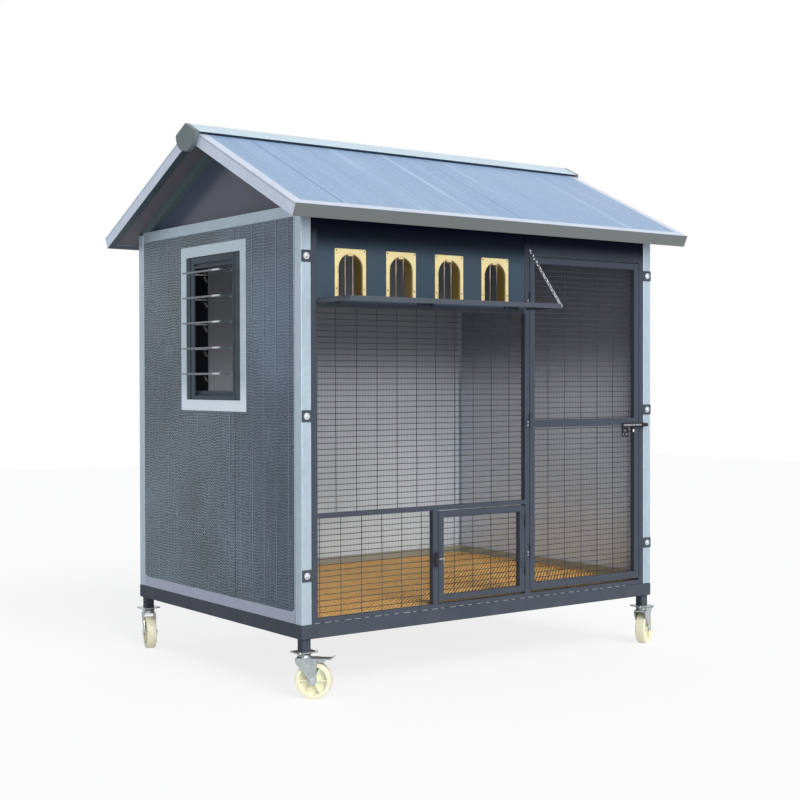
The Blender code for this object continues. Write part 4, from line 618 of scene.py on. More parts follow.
def louvre_glass():
    """Clear float glass with a green cast and a little dust."""
    material, graph, shader, place = new_finish("louvre glass", 0.06)
    shader.inputs["Transmission Weight"].default_value = 0.35
    shader.inputs["IOR"].default_value = 1.5
    dusty = graph.ramp(graph.noise(place, 30.0, 5.0, 0.6), 0.4, 0.8)
    base = graph.mix(dusty, linear(84, 98, 104), linear(128, 140, 146))
    graph.put(shader.inputs["Base Color"], base)
    graph.put(shader.inputs["Roughness"], graph.plus(0.04, graph.times(dusty, 0.16)))
    return material


def roof_film(name, dark, light):
    """The roof's profiled skin: a fine diagonal pattern with pale streaks down the slope."""
    material, graph, shader, place = new_finish(name, 0.4)
    axes = graph.apart(place)
    inputs = {"Place": place, "Across": axes[0], "Up": axes[1], "Row": 0.009, "Wave": 0.016}
    pattern = graph.group(FILM, inputs)
    long_streaks = graph.noise(graph.scaled(place, (38.0, 0.7, 0.7)), 1.0, 3.0, 0.65)
    shade = graph.plus(graph.times(pattern["Rows"], 0.34), graph.times(long_streaks, 0.66))
    base = graph.mix(graph.ramp(shade, 0.18, 0.82), dark, light)
    bright = graph.ramp(long_streaks, 0.62, 0.72)
    base = graph.mix(graph.times(bright, 0.4), base, linear(214, 226, 246))
    graph.put(shader.inputs["Base Color"], base)
    graph.put(shader.inputs["Roughness"], graph.plus(0.3, graph.times(pattern["Cloud"], 0.25)))
    relief(graph, shader, graph.plus(pattern["Rows"], long_streaks), 0.25, 0.0008)
    return material


VERGE_ZINC = edging_zinc()
GOLD = golden()
TIMBER = varnished()
NYLON = moulded_nylon()
GLASS = louvre_glass()
# The boards under the strands are dark: a painted shade between the strands.
SHADED_TIMBER = painted("shaded floor boards", linear(112, 52, 18), wear=0.0, dust=0.0)
ROOF_FILM = roof_film("roof skin film", linear(114, 142, 178), linear(150, 178, 210))
# Bright dashes at the foot of the rails: a painted highlight, made as stitch welds.
WELD_HIGHLIGHT = painted("stitch weld painted highlight", linear(176, 184, 192), wear=0.0, dust=0.1)
# Dark lines along the roof's folds: a painted shade.
FOLD_SHADE = painted("fold line in painted shade", linear(112, 122, 136), wear=0.0, dust=0.0)
EDGE_GREY = painted("blade edge strip", linear(126, 132, 140), wear=0.3, dust=0.0)
SKIRTING = painted("dusty skirting", linear(168, 168, 156), wear=0.2, dust=0.25)
UNDER_SKIN = painted("roof underside skin", linear(92, 92, 98), wear=0.0, dust=0.0)
# The louvre channels are near black: a painted shade on the jamb reveals.
SHADED_CHANNEL = painted("louvre channel in painted shade", linear(6, 16, 22), wear=0.1, dust=0.0, shine=0.06)
# Dark joints between skins, and a painted shade on the ridge cap's hems.
SHADOW_LINE = painted("dark joint", linear(38, 44, 56), wear=0.0, dust=0.0)

# Pieces wait here, with their shapes in cage coordinates, until settle() puts them in place
pieces = []


def piece(name, shape, finish, body="cage", slot="dark_paint", stands_for=(), place=None, facets=32,
          tree=None, inputs=None, holes=None):
    """Keeps a shape for settle().

    tree is a geometry tree to run on it, with its inputs, and holes is a shape to cut from it.
    """
    bmesh.ops.remove_doubles(shape, verts=shape.verts, dist=1e-6)
    bmesh.ops.recalc_face_normals(shape, faces=shape.faces)
    mesh = bpy.data.meshes.new(name)
    shape.to_mesh(mesh)
    shape.free()
    obj = bpy.data.objects.new(name, mesh)
    bpy.context.scene.collection.objects.link(obj)
    mesh.materials.append(finish)
    mesh.shade_smooth()
    mesh.set_sharp_from_angle(angle=radians(facets))
    cutter = None
    if holes is not None:
        bmesh.ops.recalc_face_normals(holes, faces=holes.faces)
        cutter_mesh = bpy.data.meshes.new(f"{name}_holes")
        holes.to_mesh(cutter_mesh)
        holes.free()
        cutter = bpy.data.objects.new(f"{name}_holes", cutter_mesh)
        bpy.context.scene.collection.objects.link(cutter)
        drilled = obj.modifiers.new("holes", "BOOLEAN")
        drilled.operation = "DIFFERENCE"
        drilled.solver = "EXACT"
        drilled.object = cutter
    if tree:
        spread = obj.modifiers.new("repeats", "NODES")
        spread.node_group = tree
        for item in tree.interface.items_tree:
            if item.in_out == "INPUT" and item.name in (inputs or {}):
                spread[item.identifier] = inputs[item.name]
    weighted = obj.modifiers.new("even shading", "WEIGHTED_NORMAL")
    weighted.keep_sharp = True
    pieces.append((obj, cutter, body, slot, stands_for, place or Matrix()))


def settle():
    """Turns each waiting piece into one plain mesh in its place and hangs it on its body."""
    bpy.context.view_layer.update()
    graph = bpy.context.evaluated_depsgraph_get()
    finished = []
    for obj, cutter, body, slot, stands_for, place in pieces:
        mesh = bpy.data.meshes.new_from_object(obj.evaluated_get(graph), depsgraph=graph)
        mesh.transform(Matrix.Translation(CORNER) @ place)
        finished.append(mesh)
    for (obj, cutter, body, slot, stands_for, place), mesh in zip(pieces, finished):
        obj.modifiers.clear()
        obj.data = mesh
        if cutter:
            bpy.data.objects.remove(cutter)
        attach(obj, body)
        if stands_for:
            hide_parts(*stands_for)


def box(bm, low, high):
    """A plain box, and its corners."""
    low, high = Vector(low), Vector(high)
    size = Matrix.Diagonal((*(high - low), 1.0))
    made = bmesh.ops.create_cube(bm, size=1.0, matrix=Matrix.Translation((low + high) / 2) @ size)
    return made["verts"]


def bar(bm, low, high, ease=0.0008, steps=2):
    """A box with eased edges."""
    corners = set(box(bm, low, high))
    edges = [edge for edge in bm.edges if edge.verts[0] in corners and edge.verts[1] in corners]
    bmesh.ops.bevel(bm, geom=edges, offset=ease, segments=steps, profile=0.5, affect="EDGES")


def rod(bm, start, end, radius, sides=16, far_radius=None):
    """A closed round bar between two points, tapered where far_radius is given."""
    start, end = Vector(start), Vector(end)
    along = end - start
    turn = along.to_track_quat("Z", "Y").to_matrix().to_4x4()
    bmesh.ops.create_cone(
        bm,
        cap_ends=True,
        segments=sides,
        radius1=radius,
        radius2=radius if far_radius is None else far_radius,
        depth=along.length,
        matrix=Matrix.Translation((start + end) / 2) @ turn,
    )


def placed(normal, u, v, w):
    """The point at u, v in a plane and w along the plane's normal."""
    return {"X": (w, u, v), "Y": (u, w, v), "Z": (u, v, w)}[normal]


def prism(bm, outline, normal, low, high):
    """An outline in the plane across normal, extruded from low to high."""
    near = [bm.verts.new(placed(normal, u, v, low)) for u, v in outline]
    far = [bm.verts.new(placed(normal, u, v, high)) for u, v in outline]
    bm.faces.new(near)
    bm.faces.new(far[::-1])
    for index in range(len(outline)):
        after = (index + 1) % len(outline)
        bm.faces.new((near[index], far[index], far[after], near[after]))


def rounded(us, vs, radius, steps=4):
    """A rectangle with rounded corners, as an outline."""
    outline = []
    corners = ((us[1], vs[1], 0), (us[0], vs[1], 90), (us[0], vs[0], 180), (us[1], vs[0], 270))
    for u, v, start in corners:
        centre = (
            u - radius if start in (0, 270) else u + radius,
            v - radius if start in (0, 90) else v + radius,
        )
        for step in range(steps + 1):
            angle = radians(start + 90 * step / steps)
            outline.append((centre[0] + radius * cos(angle), centre[1] + radius * sin(angle)))
    return outline


def tube(bm, low, high, along, radius=0.003):
    """A closed square tube with rounded long edges, along one axis."""
    others = [axis for axis in "XYZ" if axis != along]
    spans = {axis: (low["XYZ".index(axis)], high["XYZ".index(axis)]) for axis in "XYZ"}
    prism(bm, rounded(spans[others[0]], spans[others[1]], radius), along, *spans[along])


def sweep(bm, outline, path, up, closed=False):
    """Carries an outline of (side, lift) points along a path across up, with mitred corners."""
    path = [Vector(point) for point in path]
    up = Vector(up)
    count = len(path)
    rings = []
    for index, point in enumerate(path):
        before = path[index - 1] if index > 0 or closed else None
        after = path[(index + 1) % count] if index < count - 1 or closed else None
        sides = [
            (end - start).normalized().cross(up)
            for start, end in ((before, point), (point, after))
            if start is not None and end is not None
        ]
        side = sides[0] if len(sides) == 1 else (sides[0] + sides[1]) / (1 + sides[0].dot(sides[1]))
        rings.append([bm.verts.new(point + side * across + up * lift) for across, lift in outline])
    pairs = list(zip(rings, rings[1:] + rings[:1])) if closed else list(zip(rings, rings[1:]))
    for ring, following in pairs:
        for index in range(len(outline)):
            after = (index + 1) % len(outline)
            bm.faces.new((ring[index], ring[after], following[after], following[index]))
    if not closed:
        bm.faces.new(rings[0])
        bm.faces.new(rings[-1][::-1])


def turned(bm, profile, steps, centre, axis="Y"):
    """A closed ring turned about an axis through centre, from (radius, along) points."""
    rings = []
    for step in range(steps):
        angle = 2 * pi * step / steps
        ring = []
        for radius, along in profile:
            u, v = radius * cos(angle), radius * sin(angle)
            ring.append(bm.verts.new(Vector(centre) + Vector(placed(axis, u, v, along))))
        rings.append(ring)
    for ring, following in zip(rings, rings[1:] + rings[:1]):
        for index in range(len(profile)):
            after = (index + 1) % len(profile)
            bm.faces.new((ring[index], ring[after], following[after], following[index]))


def loft(bm, sections):
    """A closed solid through outlines with as many points each."""
    rings = [[bm.verts.new(point) for point in section] for section in sections]
    for ring, following in zip(rings, rings[1:]):
        for index in range(len(ring)):
            after = (index + 1) % len(ring)
            bm.faces.new((ring[index], ring[after], following[after], following[index]))
    bm.faces.new(rings[0][::-1])
    bm.faces.new(rings[-1])


def arch(centre, half_width, foot, spring, steps=24):
    """An arched outline: straight legs under a half circle."""
    points = [(centre - half_width, foot)]
    for step in range(steps + 1):
        angle = pi - pi * step / steps
        points.append((centre + half_width * cos(angle), spring + half_width * sin(angle)))
    points.append((centre + half_width, foot))
    return points


def new_tree(name, sizes, made):
    """An empty geometry tree: its graph, its inputs and the output for what it makes."""
    graph, given, out = new_group(name, "GeometryNodeTree", sizes, {made: "NodeSocketGeometry"})
    return graph, given, out[made]


def instanced(graph, points, instance, **inputs):
    """The same shape at every point."""
    inputs = {"Points": points, "Instance": instance, **inputs}
    return graph.add("GeometryNodeInstanceOnPoints", inputs).outputs[0]


def realized(graph, instances):
    return graph.add("GeometryNodeRealizeInstances", {0: instances}).outputs[0]


def smoothed(graph, mesh):
    return graph.add("GeometryNodeSetShadeSmooth", {"Geometry": mesh}).outputs[0]


def coated(graph, mesh, finish):
    """A mesh in its material."""
    return graph.add("GeometryNodeSetMaterial", {"Geometry": mesh, "Material": finish}).outputs[0]


def wire_panel_tree():
    """Welded wire: level wires and upright wires across a rectangle, each a little out of true."""
    sizes = {
        "Width": 1.0, "Height": 1.0, "Row Pitch": ROW_PITCH, "Column Start": 0.1,
        "Column Pitch": COLUMN_PITCH, "Wire Radius": WIRE_RADIUS, "Waver": 0.0008, "Seed": 1,
        "Paint": "",
    }
    graph, given, out = new_tree("welded wire panel", sizes, "Panel")

    def wires(length, radius, turn, count, start, offset, centre):
        inputs = {"Count": count, "Start Location": start, "Offset": offset}
        line = graph.add("GeometryNodeMeshLine", inputs, mode="OFFSET").outputs[0]
        inputs = {
            "Vertices": 6, "Side Segments": 24, "Fill Segments": 1, "Radius": radius, "Depth": length,
        }
        wire = graph.add("GeometryNodeMeshCylinder", inputs, fill_type="NGON").outputs["Mesh"]
        inputs = {"Geometry": wire, "Rotation": turn, "Translation": centre}
        return instanced(graph, line, graph.add("GeometryNodeTransform", inputs).outputs[0])

    def point(**values):
        return graph.add("ShaderNodeCombineXYZ", values).outputs[0]

    def whole(length, pitch):
        """How many wires stand along a length, the first one at its start."""
        return graph.plus(graph.math("FLOOR", graph.math("DIVIDE", length, pitch)), 1.0)

    rows = whole(given["Height"], given["Row Pitch"])
    room = graph.minus(given["Width"], given["Column Start"])
    columns = whole(room, given["Column Pitch"])
    half_width = graph.times(given["Width"], 0.5)
    half_height = graph.times(given["Height"], 0.5)
    level = wires(
        given["Width"], given["Wire Radius"], (0.0, pi / 2, 0.0), rows, HERE,
        point(Z=given["Row Pitch"]), point(X=half_width),
    )
    depth = graph.times(given["Wire Radius"], 1.7)
    upright = wires(
        given["Height"], given["Wire Radius"], HERE, columns, point(X=given["Column Start"]),
        point(X=given["Column Pitch"]), point(Y=graph.times(depth, -1.0), Z=half_height),
    )
    sides = wires(
        given["Height"], given["Wire Radius"], HERE, 2, HERE, point(X=given["Width"]),
        point(Y=graph.times(depth, -1.0), Z=half_height),
    )
    joined = graph.add("GeometryNodeJoinGeometry")
    for part in (sides, upright, level):
        graph.tree.links.new(part, joined.inputs[0])
    real = realized(graph, joined.outputs[0])
    position = graph.add("GeometryNodeInputPosition").outputs[0]
    inputs = {"Vector": position, "W": given["Seed"], "Scale": 7.0, "Detail": 1.0}
    noise = graph.add("ShaderNodeTexNoise", inputs, noise_dimensions="4D").outputs["Color"]
    inputs = {0: noise, 1: (0.5, 0.5, 0.5)}
    centred = graph.add("ShaderNodeVectorMath", inputs, operation="SUBTRACT").outputs[0]
    inputs = {0: centred, "Scale": given["Waver"]}
    amount = graph.add("ShaderNodeVectorMath", inputs, operation="SCALE").outputs[0]
    moved = graph.add("GeometryNodeSetPosition", {"Geometry": real, "Offset": amount}).outputs[0]
    graph.put(out, coated(graph, smoothed(graph, moved), given["Paint"]))
    return graph.tree


def strand_tree():
    """Short slanted strands in a grid, each turned and lifted a little differently."""
    sizes = {
        "Columns": 10, "Rows": 10, "Spread": HERE, "Centre": HERE, "Strand": HERE, "Ease": 0.002,
        "Turn": 0.0, "Loose": 0.05, "Seed": 1, "Timber": "",
    }
    graph, given, out = new_tree("floor strands", sizes, "Strands")
    spread = graph.apart(given["Spread"])
    inputs = {
        "Size X": spread[0], "Size Y": spread[1],
        "Vertices X": given["Columns"], "Vertices Y": given["Rows"],
    }
    grid = graph.add("GeometryNodeMeshGrid", inputs).outputs["Mesh"]
    inputs = {"Geometry": grid, "Translation": given["Centre"]}
    seated = graph.add("GeometryNodeTransform", inputs).outputs[0]
    size = graph.apart(given["Strand"])
    inputs = {"Width": size[0], "Height": size[2]}
    profile = graph.add("GeometryNodeCurvePrimitiveQuadrilateral", inputs).outputs[0]
    inputs = {"Curve": profile, "Radius": given["Ease"], "Count": 2}
    eased = graph.add("GeometryNodeFilletCurve", inputs, mode="POLY").outputs[0]
    half = graph.times(size[1], 0.5)
    ends = {
        "Start": graph.add("ShaderNodeCombineXYZ", {"Y": graph.times(half, -1.0)}).outputs[0],
        "End": graph.add("ShaderNodeCombineXYZ", {"Y": half}).outputs[0],
    }
    path = graph.add("GeometryNodeCurvePrimitiveLine", ends).outputs[0]
    inputs = {"Curve": path, "Profile Curve": eased, "Fill Caps": True}
    strand = graph.add("GeometryNodeCurveToMesh", inputs).outputs[0]
    low = graph.minus(given["Turn"], given["Loose"])
    high = graph.plus(given["Turn"], given["Loose"])
    inputs = {2: low, 3: high, "Seed": given["Seed"]}
    angle = graph.add("FunctionNodeRandomValue", inputs, data_type="FLOAT").outputs[1]
    turn = graph.add("ShaderNodeCombineXYZ", {"Z": angle}).outputs[0]
    many = instanced(graph, seated, strand, Rotation=turn)
    graph.put(out, coated(graph, realized(graph, many), given["Timber"]))
    return graph.tree


def fastener_tree():
    """A domed head on a thin washer at every point of a mesh, facing the given way."""
    sizes = {
        "Points": None, "Radius": 0.003, "Dome": 0.0015, "Washer": 0.004, "Facing": HERE, "Steel": "",
    }
    graph, given, out = new_tree("fasteners", sizes, "Heads")
    inputs = {"Vertices": 16, "Radius": given["Washer"], "Depth": 0.0008}
    washer = graph.add("GeometryNodeMeshCylinder", inputs).outputs["Mesh"]
    inputs = {"Segments": 14, "Rings": 8, "Radius": given["Radius"]}
    head = graph.add("GeometryNodeMeshUVSphere", inputs).outputs["Mesh"]
    flat = graph.math("DIVIDE", given["Dome"], given["Radius"])
    squash = graph.add("ShaderNodeCombineXYZ", {"X": 1.0, "Y": 1.0, "Z": flat}).outputs[0]
    dome = graph.add("GeometryNodeTransform", {"Geometry": head, "Scale": squash}).outputs[0]
    joined = graph.add("GeometryNodeJoinGeometry")
    for part in (washer, dome):
        graph.tree.links.new(part, joined.inputs[0])
    inputs = {"Geometry": joined.outputs[0], "Rotation": given["Facing"]}
    fastener = graph.add("GeometryNodeTransform", inputs).outputs[0]
    many = instanced(graph, given["Points"], fastener)
    graph.put(out, coated(graph, smoothed(graph, realized(graph, many)), given["Steel"]))
    return graph.tree


def link_tree():
    """Welded chain links along a straight line, every second one turned a quarter."""
    sizes = {
        "Count": 8, "Start": HERE, "Step": HERE, "Facing": HERE, "Long": 0.026, "Wide": 0.014,
        "Wire": 0.002, "Steel": "",
    }
    graph, given, out = new_tree("chain links", sizes, "Links")
    inputs = {"Count": given["Count"], "Start Location": given["Start"], "Offset": given["Step"]}
    line = graph.add("GeometryNodeMeshLine", inputs, mode="OFFSET").outputs[0]
    wide = graph.minus(given["Wide"], graph.times(given["Wire"], 2.0))
    long = graph.minus(given["Long"], graph.times(given["Wire"], 2.0))
    inputs = {"Width": long, "Height": wide}
    loop = graph.add("GeometryNodeCurvePrimitiveQuadrilateral", inputs).outputs[0]
    inputs = {"Curve": loop, "Radius": graph.times(wide, 0.499), "Count": 6}
    stadium = graph.add("GeometryNodeFilletCurve", inputs, mode="POLY").outputs[0]
    inputs = {"Resolution": 8, "Radius": given["Wire"]}
    wire = graph.add("GeometryNodeCurvePrimitiveCircle", inputs).outputs[0]
    link = graph.add("GeometryNodeCurveToMesh", {"Curve": stadium, "Profile Curve": wire}).outputs[0]
    index = graph.add("GeometryNodeInputIndex").outputs[0]
    odd = graph.math("MODULO", index, 2.0)
    quarter = graph.add("ShaderNodeCombineXYZ", {"X": graph.times(odd, pi / 2)}).outputs[0]
    inputs = {
        "Rotation": graph.add("FunctionNodeEulerToRotation", {0: given["Facing"]}).outputs[0],
        "Rotate By": graph.add("FunctionNodeEulerToRotation", {0: quarter}).outputs[0],
    }
    turn = graph.add("FunctionNodeRotateRotation", inputs, rotation_space="LOCAL").outputs[0]
    many = instanced(graph, line, link, Rotation=turn)
    graph.put(out, coated(graph, smoothed(graph, realized(graph, many)), given["Steel"]))
    return graph.tree


WIRE_PANEL = wire_panel_tree()
STRANDS = strand_tree()
FASTENERS = fastener_tree()
LINKS = link_tree()


def repeated(name, tree, inputs, finish, points=(), **settings):
    """A piece that a geometry tree makes, on these points where it needs them."""
    shape = bmesh.new()
    for point in points:
        shape.verts.new(point)
    piece(name, shape, finish, tree=tree, inputs=inputs, **settings)


def heads(name, sizes, steel, points, facing=FORWARD, slot="zinc_steel", body="cage"):
    """Fasteners at these points, from the radius and height of their heads and their washers' radius."""
    radius, dome, washer = sizes
    inputs = {"Radius": radius, "Dome": dome, "Washer": washer, "Facing": facing, "Steel": steel}
    repeated(name, FASTENERS, inputs, steel, points, body=body, slot=slot)


def base():
    """The ring of square tube, its bearers, and the legs with their bolt holes."""
    shape = bmesh.new()
    inset = BASE_TUBE / 2
    corners = [(inset, inset, -inset), (WIDTH - inset, inset, -inset),
               (WIDTH - inset, DEPTH - inset, -inset), (inset, DEPTH - inset, -inset)]
    sweep(shape, rounded((-inset, inset), (-inset, inset), 0.005), corners, (0, 0, 1), closed=True)
    for index in range(1, BEARER_COUNT + 1):
        x = BASE_TUBE + (WIDTH - 2 * BASE_TUBE) * index / (BEARER_COUNT + 1)
        low = (x - BEARER / 2, BASE_TUBE - LAP, -BASE_TUBE + 0.0002)
        tube(shape, low, (x + BEARER / 2, DEPTH - BASE_TUBE + LAP, -0.0002), "Y")
    holes = bmesh.new()
    for x in (inset, WIDTH - inset):
        for y in (inset, DEPTH - inset):
            half = LEG_TUBE / 2
            tube(shape, (x - half, y - half, LEG_FOOT), (x + half, y + half, -BASE_TUBE + LAP), "Z")
            rod(holes, (x - LEG_TUBE, y, -0.085), (x + LEG_TUBE, y, -0.085), 0.005, 14)
            for bead in (y - half, y + half):
                rod(shape, (x - half, bead, -BASE_TUBE), (x + half, bead, -BASE_TUBE), 0.0025, 8)
    piece("base_frame_tubes", shape, FRAME_PAINT, stands_for=["base_frame"], holes=holes)


def posts():
    """Four square tubes at the corners."""
    for name, x, y in (("front_left", 0, 0), ("front_right", WIDTH - POST, 0),
                       ("rear_left", 0, DEPTH - POST), ("rear_right", WIDTH - POST, DEPTH - POST)):
        shape = bmesh.new()
        tube(shape, (x, y, GAP), (x + POST, y + POST, POST_HEIGHT), "Z", 0.005)
        piece(f"post_{name}", shape, POST_ZINC, slot="zinc_sheet", stands_for=[f"corner_post_{name}"])


def floor():
    """A mat of slanted strands on boards, inside a border lath."""
    low, high = (0.051, 0.0333), (1.949, 1.403)
    top, lath = 0.0183, 0.012
    shape = bmesh.new()
    count = 44
    pitch = (high[0] - low[0] - 0.002) / count
    for index in range(count):
        x = low[0] + 0.001 + pitch * index
        board = rounded((x + 0.002, x + pitch - 0.002), (0.0004, 0.0118), 0.0015, 2)
        prism(shape, board, "Y", low[1], high[1])
    # The boards show between the strands as a painted shade.
    piece("floor_boards", shape, SHADED_TIMBER, slot="timber", stands_for=["floor_grating"])
    shape = bmesh.new()
    middle = ((low[0] + high[0]) / 2, (low[1] + high[1]) / 2, (GAP + top) / 2)
    half = lath / 2
    corners = [(low[0] + half, low[1] + half, middle[2]), (high[0] - half, low[1] + half, middle[2]),
               (high[0] - half, high[1] - half, middle[2]), (low[0] + half, high[1] - half, middle[2])]
    section = rounded((-half, half), ((GAP - top) / 2, (top - GAP) / 2), 0.002, 2)
    sweep(shape, section, corners, (0, 0, 1), closed=True)
    piece("floor_border", shape, TIMBER, slot="timber")
    strand, slant = (0.0092, 0.058, 0.0064), radians(-47)
    pitch, row = 0.0200, 0.0400
    reach = (strand[1] / 2 * sin(-slant) + 0.006, strand[1] / 2 * cos(slant) + 0.006)
    spread = (high[0] - low[0] - 2 * lath - 2 * reach[0], high[1] - low[1] - 2 * lath - 2 * reach[1])
    inputs = {
        "Columns": int(spread[0] / pitch) + 1, "Rows": int(spread[1] / row) + 1,
        "Spread": (*spread, 0.0),
        "Centre": (middle[0], middle[1], top - strand[2] / 2), "Strand": strand, "Ease": 0.0026,
        "Turn": slant, "Loose": 0.05, "Seed": 3, "Timber": TIMBER,
    }
    repeated("floor_strands", STRANDS, inputs, TIMBER, slot="timber")


def corner_beads(shape, xs, foot, top):
    """Upright weld beads where a rail meets its posts."""
    for x in xs:
        rod(shape, (x, 0.001, foot), (x, 0.001, top), BEAD, 8)


def hinge_leaf(shape, xs, zs, radius):
    """One leaf of a door's hinge, from side to side and from foot to top."""
    prism(shape, rounded(xs, zs, radius, 3), "Y", -0.003, 0.001)


def knuckle(shape, pivot, foot, top):
    """One barrel of a door's hinge."""
    rod(shape, (pivot, -HINGE_SETBACK, foot), (pivot, -HINGE_SETBACK, top), KNUCKLE_RADIUS)


def board_hinges():
    """Where the landing board's three hinges stand."""
    left, right = BOARD_LEFT + 0.080, BOARD_RIGHT - 0.080
    return [left + (right - left) * index / 2 for index in range(3)]


def front_frame():
    """Stiles and rails with their weld beads, the sheet over the door, and the bolted tabs."""
    shape = bmesh.new()
    back = FRAME_DEPTH - 0.0002
    uprights = (
        (FRAME_LEFT, LEFT_OPENING), (MID_POST_LEFT, MID_POST_RIGHT), (RIGHT_STILE_LEFT, FRAME_RIGHT),
    )
    for left, right in uprights:
        tube(shape, (left, 0, GAP), (right, FRAME_DEPTH, POST_HEIGHT), "Z")
    low, high = LEFT_OPENING - LAP, MID_POST_LEFT + LAP
    door_low, door_high = MID_POST_RIGHT - LAP, RIGHT_STILE_LEFT + LAP
    rails = [
        (low, high, BOARD_RAIL_FOOT, BOARD_RAIL_TOP),
        (low, high, MID_RAIL_FOOT, MID_RAIL_TOP),
        (low, high, GAP, GAP + RAIL),
        (door_low, door_high, GAP, GAP + RAIL),
        (low, high, TOP_RAIL_FOOT, POST_HEIGHT),
        (door_low, door_high, TOP_RAIL_FOOT, POST_HEIGHT),
    ]
    for left, right, foot, top in rails:
        tube(shape, (left, 0.0002, foot), (right, back, top), "X")
    foot, top = GAP + RAIL - LAP, MID_RAIL_FOOT + LAP
    tube(shape, (DIVIDER_LEFT, 0.0002, foot), (DIVIDER_RIGHT, back, top), "Z")
    for left, right, foot, top in rails:
        corner_beads(shape, (left + LAP, right - LAP), foot, top)
    left, right = MID_POST_RIGHT - 0.001, RIGHT_STILE_LEFT + 0.001
    bar(shape, (left, 0.003, SHEET_FOOT), (right, 0.013, TOP_RAIL_FOOT + 0.001))
    bar(shape, (left, 0.0005, SHEET_FOOT), (right, 0.0035, SHEET_FOOT + 0.006), 0.0006)
    for height in TAB_HEIGHTS:
        for edge, towards in ((0.0, 1), (WIDTH, -1)):
            xs = sorted((edge + towards * 0.002, edge + towards * (FRAME_LEFT + 0.010)))
            prism(shape, rounded(xs, (height - 0.024, height + 0.024), 0.004), "Y", -0.0033, -0.0003)
            x = edge + towards * (FRAME_LEFT + 0.0105)
            rod(shape, (x, -0.0012, height - 0.022), (x, -0.0012, height + 0.022), 0.0018, 8)
    for height in HINGE_HEIGHTS:
        foot, head = height - KNUCKLE, height - 0.0005
        hinge_leaf(shape, (DOOR_PIVOT - 0.020, DOOR_PIVOT - 0.001), (foot, head), 0.003)
        knuckle(shape, DOOR_PIVOT, foot, height - 0.0003)
    for height in SMALL_HINGE_HEIGHTS:
        foot, head = height - KNUCKLE, height - 0.0005
        hinge_leaf(shape, (SMALL_PIVOT + 0.001, SMALL_PIVOT + 0.010), (foot, head), 0.002)
        knuckle(shape, SMALL_PIVOT, foot, height - 0.0003)
    x = (DIVIDER_LEFT + DIVIDER_RIGHT) / 2
    rod(shape, (x, 0.001, LATCH_HEIGHT), (x, -0.0042, LATCH_HEIGHT), 0.006)
    for centre in board_hinges():
        for side in (-1, 1):
            xs = sorted((centre + side * 0.0303, centre + side * 0.0413))
            bar(shape, (xs[0], -0.0095, 1.2955), (xs[1], 0.0005, 1.3215), 0.0015)
    low = (KEEPER_LEFT, -0.009, BOLT_HEIGHT - 0.011)
    bar(shape, low, (FRAME_RIGHT - 0.001, 0.001, BOLT_HEIGHT + 0.011), 0.001)
    piece("front_frame_tubes", shape, FRAME_PAINT, stands_for=["front_frame"])

    # A painted highlight along the foot of the rails, made as short stitch welds.
    weld_highlights = bmesh.new()
    pitch = 0.050
    for index in range(int((FRAME_RIGHT - FRAME_LEFT - 0.060) / pitch)):
        x = FRAME_LEFT + 0.010 + pitch * index
        length = 0.026 + 0.008 * sin(2.3 * index)
        rod(weld_highlights, (x, 0.0004, 0.0012), (x + length, 0.0004, 0.0012), 0.0010, 8)
    piece("rail_weld_highlights", weld_highlights, WELD_HIGHLIGHT, slot="dark_paint")

    shape, bore = bmesh.new(), bmesh.new()
    start, stop = KEEPER_LEFT, KEEPER_LEFT + 0.036
    rod(shape, (start, BOLT_AXIS, BOLT_HEIGHT), (stop, BOLT_AXIS, BOLT_HEIGHT), 0.009, 20)
    start, stop = start - 0.002, stop + 0.002
    rod(bore, (start, BOLT_AXIS, BOLT_HEIGHT), (stop, BOLT_AXIS, BOLT_HEIGHT), 0.006, 20)
    piece("bolt_keeper", shape, BLACK_STEEL, slot="black_fitting", holes=bore)

    eye = bmesh.new()
    x, z = CHAIN_HOOK[0], 1.5642
    rod(eye, (x, -0.016, z), (x, 0.001, z), 0.002, 12)
    rod(eye, (x, -0.0185, z), (x, -0.016, z), 0.0038, 12)
    piece("chain_hook", eye, BRIGHT_STEEL, slot="zinc_steel")

    points = []
    for height in TAB_HEIGHTS:
        points += [(0.025, -0.0033, height), (WIDTH - 0.025, -0.0033, height)]
    heads("tab_bolts", (0.0088, 0.0056, 0.0142), BRIGHT_STEEL, points)
    x, drops = DOOR_PIVOT - 0.013, (0.008, 0.022)
    points = [(x, -0.003, height - drop) for height in HINGE_HEIGHTS for drop in drops]
    points += [(SMALL_PIVOT + 0.0055, -0.003, height - 0.016) for height in SMALL_HINGE_HEIGHTS]
    heads("hinge_rivets", (0.0022, 0.0014, 0.003), BRIGHT_STEEL, points)


def net(name, node, body, low, width, height, first, seed):
    """One welded wire panel, its level wires in front of its uprights."""
    inputs = {
        "Width": width, "Height": height, "Row Pitch": ROW_PITCH, "Column Start": first,
        "Column Pitch": COLUMN_PITCH, "Wire Radius": WIRE_RADIUS, "Waver": 0.004, "Seed": seed,
        "Paint": WIRE_PAINT,
    }
    repeated(name, WIRE_PANEL, inputs, WIRE_PAINT, body=body, slot="black_wire", stands_for=[node],
             place=Matrix.Translation(low))


def nets():
    """The two panels of the front frame and one in each door."""
    y = 0.0338
    net("upper_net", "upper_mesh", "cage", (0.0700, y, 0.4360), 1.1303, 0.8546, 0.1175, 11)
    net("lower_net", "lower_mesh", "cage", (0.0700, y, 0.0120), 0.6054, 0.4200, 0.0365, 12)
    net("door_net", "door_mesh", "door", (1.2440, y, 0.0570), 0.6537, 1.4610, 0.1150, 13)
    low = (0.7180, y, 0.0490)
    net("small_door_net", "small_door_mesh", "small_door", low, 0.4510, 0.3510, 0.0900, 14)


